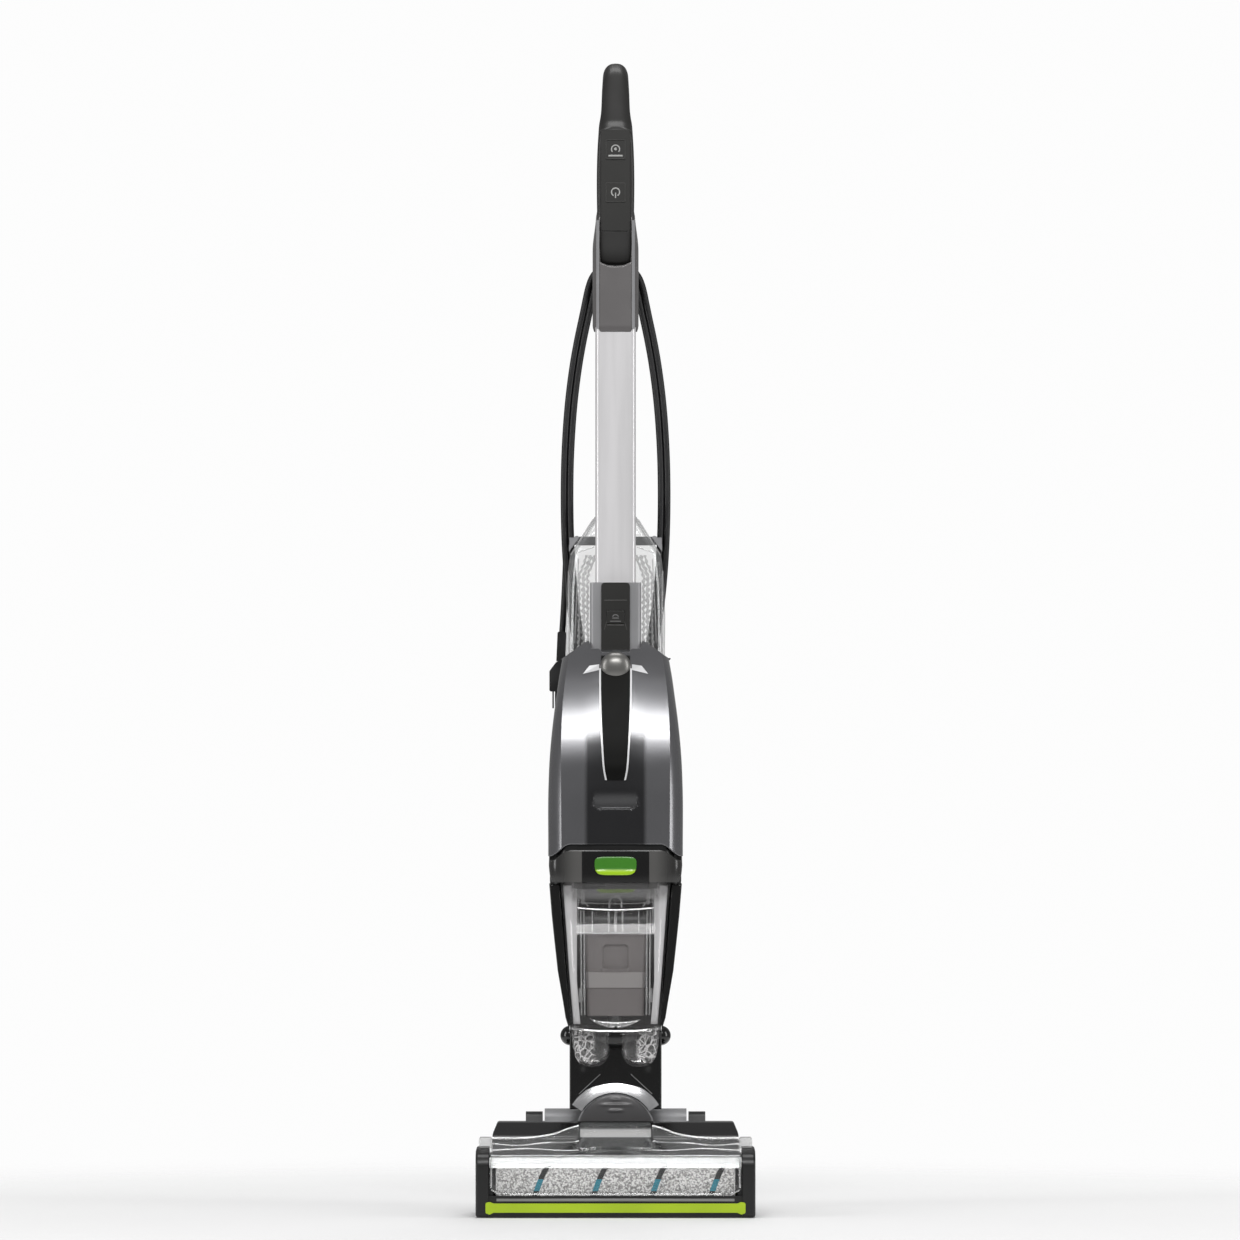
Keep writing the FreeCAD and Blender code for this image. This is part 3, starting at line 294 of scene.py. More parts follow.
def bristleFinish(name):
    # packed nylon bristle ends, paler at single tips
    colour = bristleColours[name]
    material, shader, place = sheetOf(name)
    tips = cells(place, 1100)
    feed(shader, Base_Color=tips.between(0.1, 0.5).blend(rgb([c * 1.8 + 0.01 for c in colour]), rgb(colour)),
         Normal=bump(place, tips, 0.8, 0.001), Roughness=0.45)
    return material


rubbers = {    # colour, roughness, scale and strength of the grain
    "cordRubber": ((0.006, 0.006, 0.0065), 0.40, 500, 0.12),
    "tyreRubber": ((0.010, 0.010, 0.010), 0.62, 900, 0.25),
}


def rubberFinish(name):
    # rubber: matt bloom in patches over a fine grain
    colour, rough, scale, grain = rubbers[name]
    material, shader, place = sheetOf(name)
    bloom = noise(place, 40, 4).between(0.35, 0.7)
    feed(shader, Base_Color=bloom.blend(rgb(colour), rgb(colour, 1.9)), Roughness=rough + bloom * 0.12,
         Normal=bump(place, noise(place, scale, 2), grain, 0.0003))
    return material


def latchFinish():
    # two-tone key: deep green above and a lime lip below
    material, shader, place = sheetOf("latchGreen")
    lip = axis(place, "Z").between(0.3445, 0.3475)
    feed(shader, Base_Color=lip.blend(rgb((0.36, 0.62, 0.004)), rgb((0.045, 0.21, 0.012))),
         Roughness=0.26 + noise(place, 60, 2) * 0.08, Coat_Weight=0.4,
         Normal=bump(place, noise(place, 1500, 1), 0.04))
    return material


def lidFinish():
    # black lid: glossy middle facet, the leaning side facets carry a painted dark-grey sheen that fades outwards
    material, shader, place = sheetOf("lidBlack")
    side = axis(place, "X").size()
    facet = side.between(0.0335, 0.0345) * (1 - side.between(0.038, 0.060) * 0.75)
    # the dark grey on the side facets is a painted sheen, strongest next to the middle facet and fading outwards
    feed(shader, Base_Color=facet.blend(grey(0.004), rgb((0.085, 0.083, 0.080))), Coat_Weight=0.2,
         Roughness=0.18 + facet * 0.16 + noise(place, 60, 3) * 0.04,
         Normal=bump(place, noise(place, 1800, 1), 0.02))
    return material


def strainerFinish():
    # matt brown-grey moulding with a paler belt
    material, shader, place = sheetOf("strainerTan")
    belt = axis(place, "Z").band(0.2262, 0.2428, 0.001)
    feed(shader, Base_Color=belt.blend(rgb((0.165, 0.150, 0.148)), rgb((0.30, 0.285, 0.28))),
         Roughness=0.5 + noise(place, 70, 3) * 0.1, Normal=bump(place, noise(place, 1200, 2), 0.08, 0.0003))
    return material


def ductFinish():
    # clear duct: a painted highlight band near its top, and painted shade where the channel behind it is seen
    material, shader, place = sheetOf("ductClear")
    height = axis(place, "Z")
    # lit is a painted highlight band and shade a painted dark band, both set by height
    lit, shade = height.band(0.0775, 0.0865, 0.001), height.band(0.0862, 0.0900, 0.001)
    feed(shader, Alpha=0.30 + lit * 0.62 + shade * 0.5 + slantOf(place) * 0.2, Metallic=0.2,
         Base_Color=shade.blend(lit.blend(rgb((0.20, 0.21, 0.21)), grey(0.85)), grey(0.05)),
         Roughness=0.16 + noise(place, 60, 2) * 0.08)
    return material


finishes = {"pileFibre": pileFinish(), "latchGreen": latchFinish(), "frontShellGrey": shellFinish(),
            "lidBlack": lidFinish(), "strainerTan": strainerFinish(), "ductClear": ductFinish()}
for maker, looks in ((plasticFinish, plastics), (metalFinish, metals), (clearFinish, clears),
                     (bristleFinish, bristleColours), (rubberFinish, rubbers)):
    finishes.update({name: maker(name) for name in looks})
print("finishes made:", len(finishes))

nodeFinish = {
    "blackSatin": "foot_chassis end_cap_left end_cap_right suction_hose body_rear_shell suction_fan water_pump"
                  " spray_trigger cord_gland upper_cord_hook lower_cord_hook clean_tank_cap",
    "blackGloss": "rear_cover neck_bolt_caps spine_cover grip_loop tank_lid neck_yoke"
                  " side_rail_left side_rail_right",
    "panelBlack": "insert_panel rinse_button control_panel power_button mode_button",
    "limeGreen": "front_bumper",
    "cupClear": "dirty_tank_cup",
    "hoodClear": "brush_window",
    "tankClear": "clean_tank_shell",
    "brownGrey": "separator brush_core",
    "pileFibre": "brush_pile",
    "castCase": "brush_motor suction_motor steam_boiler",
    "steel": "motor_pinion wheel_axles swivel_nut body_screws",
    "tyreRubber": "drive_belt squeegee wheel_left wheel_right tank_seal",
    "lightGrey": "trunnion tube_collar float_ball clean_tank_handle",
    "domeGrey": "trunnion_cap",
    "shellGrey": "body_front_shell",
    "handleGrey": "handle_shell",
    "tubeSilver": "handle_tube",
    "brightTrim": "spine_trim",
    "boardGreen": "control_board",
    "filterPaper": "tank_filter",
    "cordRubber": "cord_hank cord_lead cord_tail plug",
    "latchGreen": "tank_latch",
}
for finish, nodes in nodeFinish.items():
    for node in nodes.split():
        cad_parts[node].data.materials.clear()
        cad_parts[node].data.materials.append(finishes[finish])

# power cord
cord = {
    "diameter": 6.5,
    "length": 7.9,                  # metres, gland to plug
    "hookLow": 515.0, "hookHigh": 934.0,
    "fold": 17.5, "belly": 43.2,    # half widths of the loop's inside, at the hooks and between them
    "front": 102.1,                 # nearest face of the wound cord, y
    "lead": [(43, 440), (43, 480), (41.6, 514), (41.0, 550), (42.5, 586)],
    "tail": [(-50.4, 664), (-51.5, 636), (-52.9, 607), (-54.9, 578)],
    # where each turn lies in the hank: layer from the front, column from the inside
    "turns": [(1, 1), (0, 1), (0, 0), (1, 0), (2, 0), (3, 0), (3, 1), (2, 1)],
    "shares": (-0.9, -0.75, -0.6, -0.42, -0.2, 0.0, 0.2, 0.42, 0.6, 0.75, 0.9),
}


def hankTurn():
    # one turn, anticlockwise from under the lower hook: rows of x, z, the outward direction and how far an
    # arc's control points stand off; the sides bulge by 1 - |share| ** 2.3, the folds are half circles
    fold, share = cord["fold"], np.array(cord["shares"])
    level = (cord["hookHigh"] + cord["hookLow"]) / 2 + share * (cord["hookHigh"] - cord["hookLow"]) / 2
    bulge = fold + (cord["belly"] - fold) * (1 - np.abs(share) ** 2.3)
    still = np.ones_like(share)
    arc = np.radians([15, 45, 75])

    def bend(hook, angles):
        return np.stack([fold * np.cos(angles), hook + fold * np.sin(angles), np.cos(angles), np.sin(angles),
                         np.full_like(angles, 1.035)], -1)

    right = np.stack([bulge, level, still, 0 * still, still], -1)
    left = np.stack([-bulge, level, -still, 0 * still, still], -1)[::-1]
    over = bend(cord["hookHigh"], np.concatenate([arc, arc + math.pi / 2]))
    return np.concatenate([bend(cord["hookLow"], arc - math.pi / 2), right, over, left,
                           bend(cord["hookLow"], arc + math.pi)])


def cordRoute():
    # every turn keeps its own place in the hank and slides over to the next one under the lower hook
    size = cord["diameter"]
    seats = size * (np.array(cord["turns"]) + 0.5) + (cord["front"], 0)
    turn = hankTurn()
    slide = np.clip((np.arange(len(turn)) - (len(turn) - 4)) / 4, 0, 1)[:, None]
    run = []
    for seat, following in zip(seats, np.concatenate([seats[1:], seats[-1:]])):
        y, out = (seat + (following - seat) * slide).T
        reach = np.where(turn[:, 4] > 1, (cord["fold"] + out) * turn[:, 4] - cord["fold"], out)
        run.append(np.stack([turn[:, 0] + turn[:, 2] * reach, y, turn[:, 1] + turn[:, 3] * reach], -1))
    run[0] = run[0][7:]                                    # the lead comes up beside the first turn
    run[-1] = run[-1][: 20 + int(np.argmax(run[-1][20:, 2] < cord["tail"][0][1] + 8))]
    middle = cord["front"] + 2 * size
    lead, tail = (np.array([(x, middle, z) for x, z in cord[part]], float) for part in ("lead", "tail"))
    return np.concatenate([lead, *run, tail])


def makeCord():
    route = cordRoute()
    curve = bpy.data.curves.new("powerCord", "CURVE")
    curve.dimensions = "3D"
    spline = curve.splines.new("NURBS")
    spline.points.add(len(route) - 1)
    spline.points.foreach_set("co", np.column_stack([route * mm, np.ones(len(route))]).ravel())
    spline.order_u = 3
    spline.use_endpoint_u = True
    curve.bevel_depth = cord["diameter"] / 2 * mm
    curve.bevel_resolution = 4
    curve.resolution_u = 5
    curve.use_fill_caps = True
    curve.materials.append(finishes["cordRubber"])
    piece = addObject("powerCord", curve)
    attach(piece, "body")
    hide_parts("cord_hank", "cord_lead", "cord_tail")


makeCord()
print("cord wound")


# surfaces
def follow(table, at):
    # smooth reading of (place, value, ...) rows: a cubic between rows, its slopes taken from the rows either side
    rows = np.array(table, float)
    x, y = rows[:, 0], rows[:, 1:]
    slope = np.gradient(y, x, axis=0)
    at = np.clip(np.asarray(at, float), x[0], x[-1])
    i = np.clip(np.searchsorted(x, at, side="right") - 1, 0, len(x) - 2)
    h = (x[i + 1] - x[i])[..., None]
    t = (at - x[i])[..., None] / h
    value = ((2 * t ** 3 - 3 * t ** 2 + 1) * y[i] + (t ** 3 - 2 * t ** 2 + t) * slope[i] * h
             + (3 * t ** 2 - 2 * t ** 3) * y[i + 1] + (t ** 3 - t ** 2) * slope[i + 1] * h)
    return value[..., 0] if y.shape[1] == 1 else value


def soft(x, low, high):  # 0 at low, 1 at high, smooth on the way
    t = np.clip((x - low) / (high - low), 0, 1)
    return t * t * (3 - 2 * t)


def down(*numbers):  # a column of the given numbers
    return np.array(numbers, float)[:, None]


def across(*numbers):  # a row of them
    return np.array(numbers, float)[None, :]


def steps(first, last, count):  # even steps down a column
    return np.linspace(first, last, count)[:, None]


def circle(count=10):  # a row of angles once round
    return np.linspace(0, 2 * math.pi, count, endpoint=False)[None, :]


def grid(x, y, z):
    return np.stack(np.broadcast_arrays(x, y, z), -1)


def surface(points, loop=False, start=False, end=False, flip=False):
    # quads between neighbouring points of a grid; loop closes each row, start and end put a face over an end row
    rows, columns = points.shape[:2]
    index = np.arange(rows * columns).reshape(rows, columns)
    ring = np.hstack([index, index[:, :1]]) if loop else index
    quads = np.stack([ring[:-1, :-1], ring[:-1, 1:], ring[1:, 1:], ring[1:, :-1]], -1).reshape(-1, 4).tolist()
    if start:
        quads.append(index[0, ::-1].tolist())
    if end:
        quads.append(index[-1].tolist())
    return points.reshape(-1, 3), [quad[::-1] for quad in quads] if flip else quads


def closed(x, y, z, flip=False):  # rings of a grid with a face over both ends
    return surface(grid(x, y, z), loop=True, start=True, end=True, flip=flip)


def mirrored(made, way=(-1, 1, 1)):  # the same surface on the other side, its faces turned the right way again
    points, faces = made
    return points * way, [face[::-1] for face in faces]


def both(*parts):
    return [*parts, *map(mirrored, parts)]


def makePiece(name, finish, body, surfaces, replaces=None, wall=0.0, angle=35):
    starts = np.cumsum([0] + [len(points) for points, quads in surfaces])
    faces = [[start + corner for corner in quad]
             for start, (points, quads) in zip(starts.tolist(), surfaces) for quad in quads]
    mesh = bpy.data.meshes.new(name)
    mesh.from_pydata((np.concatenate([points for points, quads in surfaces]) * mm).tolist(), [], faces)
    weld = bmesh.new()
    weld.from_mesh(mesh)
    bmesh.ops.remove_doubles(weld, verts=weld.verts, dist=0.00002)
    weld.to_mesh(mesh)
    weld.free()
    mesh.shade_smooth()
    mesh.set_sharp_from_angle(angle=math.radians(angle))
    mesh.materials.append(finishes[finish])
    piece = addObject(name, mesh)
    if wall:
        solid = piece.modifiers.new("wall", "SOLIDIFY")
        solid.thickness, solid.offset = wall * mm, -1
    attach(piece, body)
    if replaces:
        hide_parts(replaces)


def roundRect(z, half, front, back, radius, count=6):
    # one ring per z, anticlockwise from above: four quarter circles joined by the straight sides
    z, half, front, back, radius = (np.reshape(v, (-1, 1)) for v in (z, half, front, back, radius))
    a = np.radians(np.concatenate([base + np.linspace(0, 90, count) for base in (180, 270, 0, 90)]))[None, :]
    side = np.repeat([-1, 1, 1, -1], count)[None, :]
    middle = np.where(np.repeat([1, 1, 0, 0], count)[None, :] > 0, front + radius, back - radius)
    return grid(side * (half - radius) + radius * np.cos(a), middle + radius * np.sin(a), z)


def stack(rows, count=6):  # rounded rectangles from rows of z, half width, front, back and corner radius
    return roundRect(*np.array(rows, float).T, count)


def refine(ring, corner, count):  # the straight front of every ring divided into count - 1 parts
    s = np.linspace(-1, 1, count)[None, :, None]
    front = ring[:, corner:corner + 1] * (1 - s) / 2 + ring[:, corner + 1:corner + 2] * (1 + s) / 2
    return np.moveaxis(np.concatenate([ring[:, :corner], front, ring[:, corner + 2:]], 1), -1, 0)


def ringed(points, **ends):
    return surface(points, loop=True, **ends)


def bar(start, stop, width, depth, y, bulge=0.0):
    # flat strip between two points of a front view, a closed box with its front face bulging by the given height
    start, stop = np.array(start, float), np.array(stop, float)
    along = (stop - start) / np.linalg.norm(stop - start)
    t, s = steps(0, 1, 13), across(-1, -0.6, 0, 0.6, 1, 1, -1) * width / 2
    front = across(0, 0.7, 1, 0.7, 0, 0, 0) * bulge * np.sin(math.pi * t) ** 0.5
    back = across(0, 0, 0, 0, 0, 1, 1) * depth
    return closed(start[0] + (stop - start)[0] * t + along[1] * s, y - front + back,
                  start[1] + (stop - start)[1] * t - along[0] * s, flip=True)


def bars(*rows):
    return [bar(*row) for row in rows]


def arcStrip(centre, radius, width, start, stop, y, depth=0.3, count=40):
    # flat arc in a front view: angle by place across its section, closed at both ends
    a, r = np.radians(steps(start, stop, count)), radius + across(-1, 1, 1, -1) * width / 2
    return closed(centre[0] + r * np.cos(a), y + across(0, 0, 1, 1) * depth, centre[1] + r * np.sin(a))


def bead(x, y, z, thick, tall=None):
    # ten-sided rod along columns of x, y and z, thick across y and tall across z
    a = circle()
    return closed(x + 0 * a, y + thick * np.cos(a), z + (thick if tall is None else tall) * np.sin(a))


def revolve(profile, centre, count=48):
    # a table of (height, radius) carried round a full circle
    height, radius = (np.array(profile, float)[:, k:k + 1] for k in (0, 1))
    a = circle(count)
    return closed(centre[0] + radius * np.cos(a), centre[1] + radius * np.sin(a), centre[2] + height)


# front shell of the body
shell = {
    "bottom": 371.5, "cornerDrop": 12.0, "back": 55.8, "wall": 2.4, "cornerStart": 46, "lag": 0.34,
    "half": [(355, 68), (366, 68), (430, 67.8), (460, 66.5), (490, 63.8), (520, 60),
             (545, 56.4), (566, 52), (582, 46)],
    "front": [(355, -26), (366, -26), (400, -26), (430, -25.6), (455, -23.2), (475, -18.9), (505, -9.6), (530, 0),
              (545, 6.6), (566, 18), (582, 28.6)],
    "crease": [(355, 54.5), (430, 55), (470, 55), (510, 53.5), (545, 50), (582, 43)],
    "roof": [(0, 565), (14, 565), (16, 569), (25.5, 569), (27, 578), (60, 555)],
    "inner": 15.5, "outer": 30.5,   # where the inner facet begins and ends
    "cuts": [0, 0.15, 0.3, 0.55, 0.8, 1.0],
    "scoop": {"half": 24, "top": 428, "bottom": 407.5, "depth": 3.4, "round": 9},
    # corners of the painted highlights beside the spine's head, as x and z
    "wing": [(16.6, 547.5), (33.0, 543.6), (26.4, 551.8), (16.6, 553.2)],
}


def shellSection(u, z):
    # u runs 0..1 from the middle line round to the rear edge: flat middle, sloping inner facet, broad flat,
    # a rounded corner and the straight side; x and y are worked out for every (u, z)
    half, crease = follow(shell["half"], z), follow(shell["crease"], z)
    inner, outer, back = shell["inner"], shell["outer"], shell["back"]
    flat, facet, broad, corner, side = (np.clip((u - low) / (high - low), 0, 1)
                                        for low, high in zip(shell["cuts"], shell["cuts"][1:]))
    inward = np.interp(u, shell["cuts"][:3], [31, 15.5, 0])   # the inner facets run up later than the flats
    front = follow(shell["front"], z - shell["lag"] * inward)
    first = math.radians(shell["cornerStart"])
    a = first + (math.pi / 2 - first) * corner
    lean = 1 - math.cos(first)
    cornerX = crease + (half - crease) * (np.sin(a) - math.sin(first)) / (1 - math.sin(first))
    cornerY = front + 1.6 + 21 * (1 - np.cos(a) - lean) / (1 - lean)
    places = [u < cut for cut in shell["cuts"][1:5]]
    x = np.select(places[:3], [flat * inner, inner + (outer - inner) * facet, outer + (crease - outer) * broad],
                  np.minimum(cornerX, half))
    y = np.select(places, [front + 1.4, front + 1.4 - 1.2 * facet, front + 0.2 + 1.4 * broad, cornerY],
                  front + 22.6 + (back - front - 22.6) * side)
    return x, y


def frontShell():
    cuts = shell["cuts"]
    u = np.concatenate([np.linspace(a, b, n, endpoint=False)
                        for a, b, n in zip(cuts, cuts[1:], (10, 8, 12, 12, 6))] + [[1.0]])[None, :]
    v = steps(0, 1, 150)
    z = 366 + v * 210 + 0 * u
    for turn in range(4):                                  # the rows settle between the bottom and the roof line
        x, y = shellSection(u, z)
        low = shell["bottom"] - shell["cornerDrop"] * soft(x, 46, 67)
        z = low + v * (np.interp(x, *np.array(shell["roof"]).T) - low)
    dip = shell["scoop"]
    edge = dip["bottom"] + np.maximum(x - (dip["half"] - dip["round"]), 0) ** 2 / (2 * dip["round"])
    y = y + dip["depth"] * (soft(z, edge - 0.8, edge + 0.8) * (1 - soft(z, dip["bottom"], dip["top"]))
                            * (1 - soft(x, dip["half"] - 3, dip["half"])))
    top = grid(x[-1:], y[-1:] + (shell["back"] - y[-1:]) * steps(0, 1, 12), z[-1:])
    makePiece("frontShell", "frontShellGrey", "body", both(surface(grid(x, y, z)), surface(top)),
              "body_front_shell", shell["wall"], angle=14)
    # small pale pieces beside the spine's head: painted highlights where the bevel of the sloping strip ends
    x, z = np.array(shell["wing"]).T
    y = follow(shell["front"], z) - np.array([1.6, 0.2, 1.0, 1.2])
    makePiece("shellWingHighlights", "paleTrim", "body", both(closed(x, y + down(2.5, 0), z)))


spine = {
    "half": [(436.5, 8.6), (442, 9.8), (470, 12.4), (500, 13.9), (530, 14.6), (564, 14.6)],
    "proud": [(436.5, 0.6), (444, 3.2), (460, 4.4), (564, 4.4)],
    "trimWidth": 1.9, "trimTop": 550.0,
    "nose": ((0, 7.0, 551.2), (15.6, 8.8, 14.6)),
}


def spineStrip():
    # height by place across: a strip proud of the shell, its sides square, and two thin trims along its edges
    z = steps(436.5, 562, 60)
    half, proud, base = (follow(table, z) for table in (spine["half"], spine["proud"], shell["front"]))
    place = across(-1, -1, -0.8, -0.4, 0, 0.4, 0.8, 1, 1)
    y = base + np.where(across(1, 0, 0, 0, 0, 0, 0, 0, 1) > 0, 3.5, -proud) + 0.4 * place ** 2
    makePiece("spineStrip", "spineBlack", "body", [closed(place * half, y, z)], "spine_cover")
    kept = z[:, 0] < spine["trimTop"]
    half, proud, base, z = half[kept], proud[kept], base[kept], z[kept]
    x = half + across(0.05, 0.05, 1.0, 1.0) * spine["trimWidth"]
    y = base + np.where(across(1, 0, 0, 1) > 0, 3.5, -proud - 0.5)
    makePiece("spineTrims", "paleTrim", "body", both(closed(x, y, z)), "spine_trim")
    (cx, cy, cz), (sx, sy, sz) = spine["nose"]
    fall, turn = np.radians(steps(0.5, 179.5, 30)), circle(48)
    makePiece("spineNose", "noseSatin", "body",
              [closed(cx + sx * np.sin(fall) * np.cos(turn), cy + sy * np.sin(fall) * np.sin(turn),
                      cz + sz * np.cos(fall), flip=True)])


frontShell()
spineStrip()

# lid of the dirty water tank, and the dark gap above it
lid = {
    "rows": [(333.3, 64, -25.5, 53.5, 13), (338, 65.4, -26.4, 53.5, 13), (343.3, 66.5, -27, 53.5, 13),
             (352, 67, -27.5, 53.5, 13), (359, 67.4, -27.6, 53.5, 13), (364.7, 67.2, -27.4, 53.5, 13),
             (365.8, 66.3, -26.3, 53.5, 12)],
    "cornerDrop": 10.5, "facet": 34.0, "facetLean": 2.2, "low": 333.3, "high": 365.8,
    "crown": down(0.96, 0.8, 0.5, 0.01), "level": down(1, 0.6, 0.2, 0),     # rings that close the top
    "gap": [(353, 58, -22.6, 50, 12), (374, 58, -22.6, 50, 12)],
}


def tankLid():
    # rounded rings up the lid, its top sinking towards the front corners, the front leaning back outside its facet
    x, y, z = refine(stack(lid["rows"], 9), 8, 26)
    corner = soft(np.abs(x), 46, 66) * (1 - soft(y, -20, 40))
    z = z - lid["cornerDrop"] * corner * soft(z, lid["low"], lid["high"])
    y = y + lid["facetLean"] * soft(np.abs(x), lid["facet"], lid["facet"] + 24) * (y < 0)
    s, level = lid["crown"], lid["level"]
    x, y = np.concatenate([x, x[-1:] * s]), np.concatenate([y, 14 + (y[-1:] - 14) * s])
    z = np.concatenate([z, (z[-1:] - 0.3) * level + lid["high"] * (1 - level)])
    makePiece("lidShell", "lidBlack", "dirty_tank", [closed(x, y, z)], "tank_lid", angle=28)
    makePiece("gapBand", "blackSatin", "body", [ringed(stack(lid["gap"]), start=True, end=True)])


latch = {"half": 21.3, "low": 340.6, "high": 359.4, "front": -28.4, "bulge": 1.5, "lip": 1.1, "power": 5.0}


def boxy(angle, power):  # cosine of an angle, bulged towards a square
    return np.sign(np.cos(angle)) * np.abs(np.cos(angle)) ** (2 / power)


def latchKey():
    # superellipse in rings that shrink towards its middle, the face bulging, the lip proud
    a = circle(72)
    s, lift = down(1, 1, 0.985, 0.93, 0.8, 0.6, 0.4, 0.2, 0.01), down(-3, 0.2, 0.75, 0.95, 1, 1, 1, 1, 1)
    low, high, power = latch["low"], latch["high"], latch["power"]
    z = (low + high) / 2 + (high - low) / 2 * s * boxy(a - math.pi / 2, power)
    x = latch["half"] * s * boxy(a, power) * (1 - 0.09 * soft(-z, -349, -341))
    y = latch["front"] + latch["bulge"] * (1 - lift) - latch["lip"] * (1 - soft(z, 343.5, 347.5)) * (lift > 0.5)
    makePiece("latchKey", "latchGreen", "latch", [closed(x, y, z)], "tank_latch", angle=50)


tankLid()
latchKey()
print("body shell and lid made")

# inside of the dirty water tank
strainer = {
    "low": 198.0, "high": 282.0, "halfLow": 28.6, "halfHigh": 31.6, "front": -9.5, "back": 24.0, "wall": 1.2,
    "stamp": (13.0, 246.0, 270.0, 4.0), "stampDepth": 3.2,      # half width, low, high, corner radius
    "lip": (14.5, 242.5, 246.5, 1.9), "lipHeight": 1.6,
    "belt": (226.0, 243.0, 1.0),
    "grille": [(282, 34, -10.5, 26, 4), (303.5, 34, -10.5, 26, 4)],
    "cage": [((34.3, 199), (35.2, 305), 1.6, 3.0, -13.2, 0.5), ((31.1, 199), (32, 305), 1.6, 3.0, -13.2, 0.5),
             ((23.5, 283), (23.5, 304), 1.2, 1.2, -12.4, 0.5), ((7, 283), (7, 304), 1.6, 1.2, -12.4, 0.5),
             ((0, 283), (0, 304), 2.2, 1.2, -12.4, 0.5), ((27.5, 309), (38.5, 321), 1.6, 2.4, -13, 0.5),
             ((38.6, 294), (38.0, 322), 2.0, 3.0, -13, 0.5), ((33, 311), (33, 326), 3.2, 3.0, -13.4, 0.6),
             ((38.2, 281), (38.2, 296), 2.6, 3.0, -13.4, 0.6), ((36.2, 212), (36.2, 226), 2.4, 3.0, -12.4, 0.6),
             ((6.2, 307), (6.2, 312.5), 1.6, 2, -13.4, 0.4)],
    # height, sag, thickness
    "rails": ((305.2, 2.2, 1.1), (281.6, 0.0, 0.8), (311.5, 1.6, 0.6), (326.0, 0.0, 0.5)),
}


def outside(x, z, half, low, high, radius):
    # signed distance to a rounded rectangle in the front view, below 0 inside
    dx, dz = np.abs(x) - (half - radius), np.abs(z - (low + high) / 2) - ((high - low) / 2 - radius)
    return np.hypot(np.maximum(dx, 0), np.maximum(dz, 0)) + np.minimum(np.maximum(dx, dz), 0) - radius


def strainerBox():
    # box whose front is a height field: a raised belt across it and a sunk rounded square with a lip under it
    z = np.linspace(strainer["low"], strainer["high"], 90)
    half = np.interp(z, [strainer["low"], strainer["high"]], [strainer["halfLow"], strainer["halfHigh"]])
    x, y, z = refine(roundRect(z, half, strainer["front"], strainer["back"], 4), 5, 70)
    sunk = strainer["stampDepth"] * (1 - soft(outside(x, z, *strainer["stamp"]), -1.4, 0.4))
    lip = strainer["lipHeight"] * (1 - soft(outside(x, z, *strainer["lip"]), -0.6, 0.6))
    low, high, proud = strainer["belt"]
    raised = soft(z, low - 0.6, low + 0.6) * (1 - soft(z, high - 0.6, high + 0.6)) * proud
    y = y + (y < strainer["front"] + 0.5) * (sunk - lip - raised)
    makePiece("strainerBox", "strainerTan", "dirty_tank", [ringed(grid(x, y, z))], "separator",
              strainer["wall"], angle=30)


def strainerTrim():
    grille = ringed(stack(strainer["grille"]))
    makePiece("strainerGrille", "blackSatin", "dirty_tank", [grille], wall=strainer["wall"])
    # clear cage round it: two side rails, a bowed bar over the grille, posts in front of it and clips above
    bow = steps(-38.5, 38.5, 40)
    rails = [bead(bow, -13.6, level + sag * (bow / 38.5) ** 2, 1.2, tall)
             for level, sag, tall in strainer["rails"]]
    makePiece("strainerCage", "ribClear", "dirty_tank",
              both(*bars(*strainer["cage"])) + rails + [arcStrip((0, 312.5), 6.2, 1.6, 0, 180, -13.4, 2.0)])
    a, s = circle().T, across(0.02, 1, 1)
    plugFace = surface(grid(3.9 * np.cos(a) * s, across(-12.4, -12.4, -9), 313 + 4.6 * np.sin(a) * s))
    makePiece("archPlug", "blackGloss", "dirty_tank", [plugFace])


cup = {
    "rows": [(186, 44.6, -16, 48, 12), (240, 48.9, -20, 50, 14), (333.3, 55.6, -24, 52, 16)],
    "feet": [(146.6, 3.0, -5.5, 3.0, 2.5), (147.4, 8.0, -9.5, 6.5, 5), (150, 12.8, -12.0, 8.6, 7),
             (156, 16.6, -13.2, 9.3, 8), (166, 19.0, -14.3, 9.5, 9), (178, 20.4, -15.6, 9.5, 9),
             (188, 20.6, -16.2, 9.5, 9)],
    "footX": 24.0, "wall": 2.2,
    "riser": ((0, 38.5, 187), 9.0, 110.0, 1.6),         # place, radius, height, wall
    "bowl": ((0, -4.5, 178.5), (25.5, 9.0, 15.0)),
    "peak": ((0.3, 188.5), (2.6, 184.5), (5.2, 178.0)),
    "ringLevel": 183.0, "linerWall": 0.5,
}


def clearCup():
    # open tapering box with two round-bottomed feet in front of the neck, and the pipe that fills it
    foot = ringed(stack(cup["feet"], 7) + (cup["footX"], 0, 0), start=True)
    makePiece("clearCup", "cupClear", "dirty_tank",
              [ringed(stack(cup["rows"], 9), start=True), *both(foot)], "dirty_tank_cup", cup["wall"])
    place, radius, tall, wall = cup["riser"]
    inner = radius - wall
    points, faces = revolve([(0, radius), (tall, radius), (tall, inner), (0, inner), (0, radius)], place)
    makePiece("cupRiser", "ribClear", "dirty_tank", [(points, faces[:-2])])


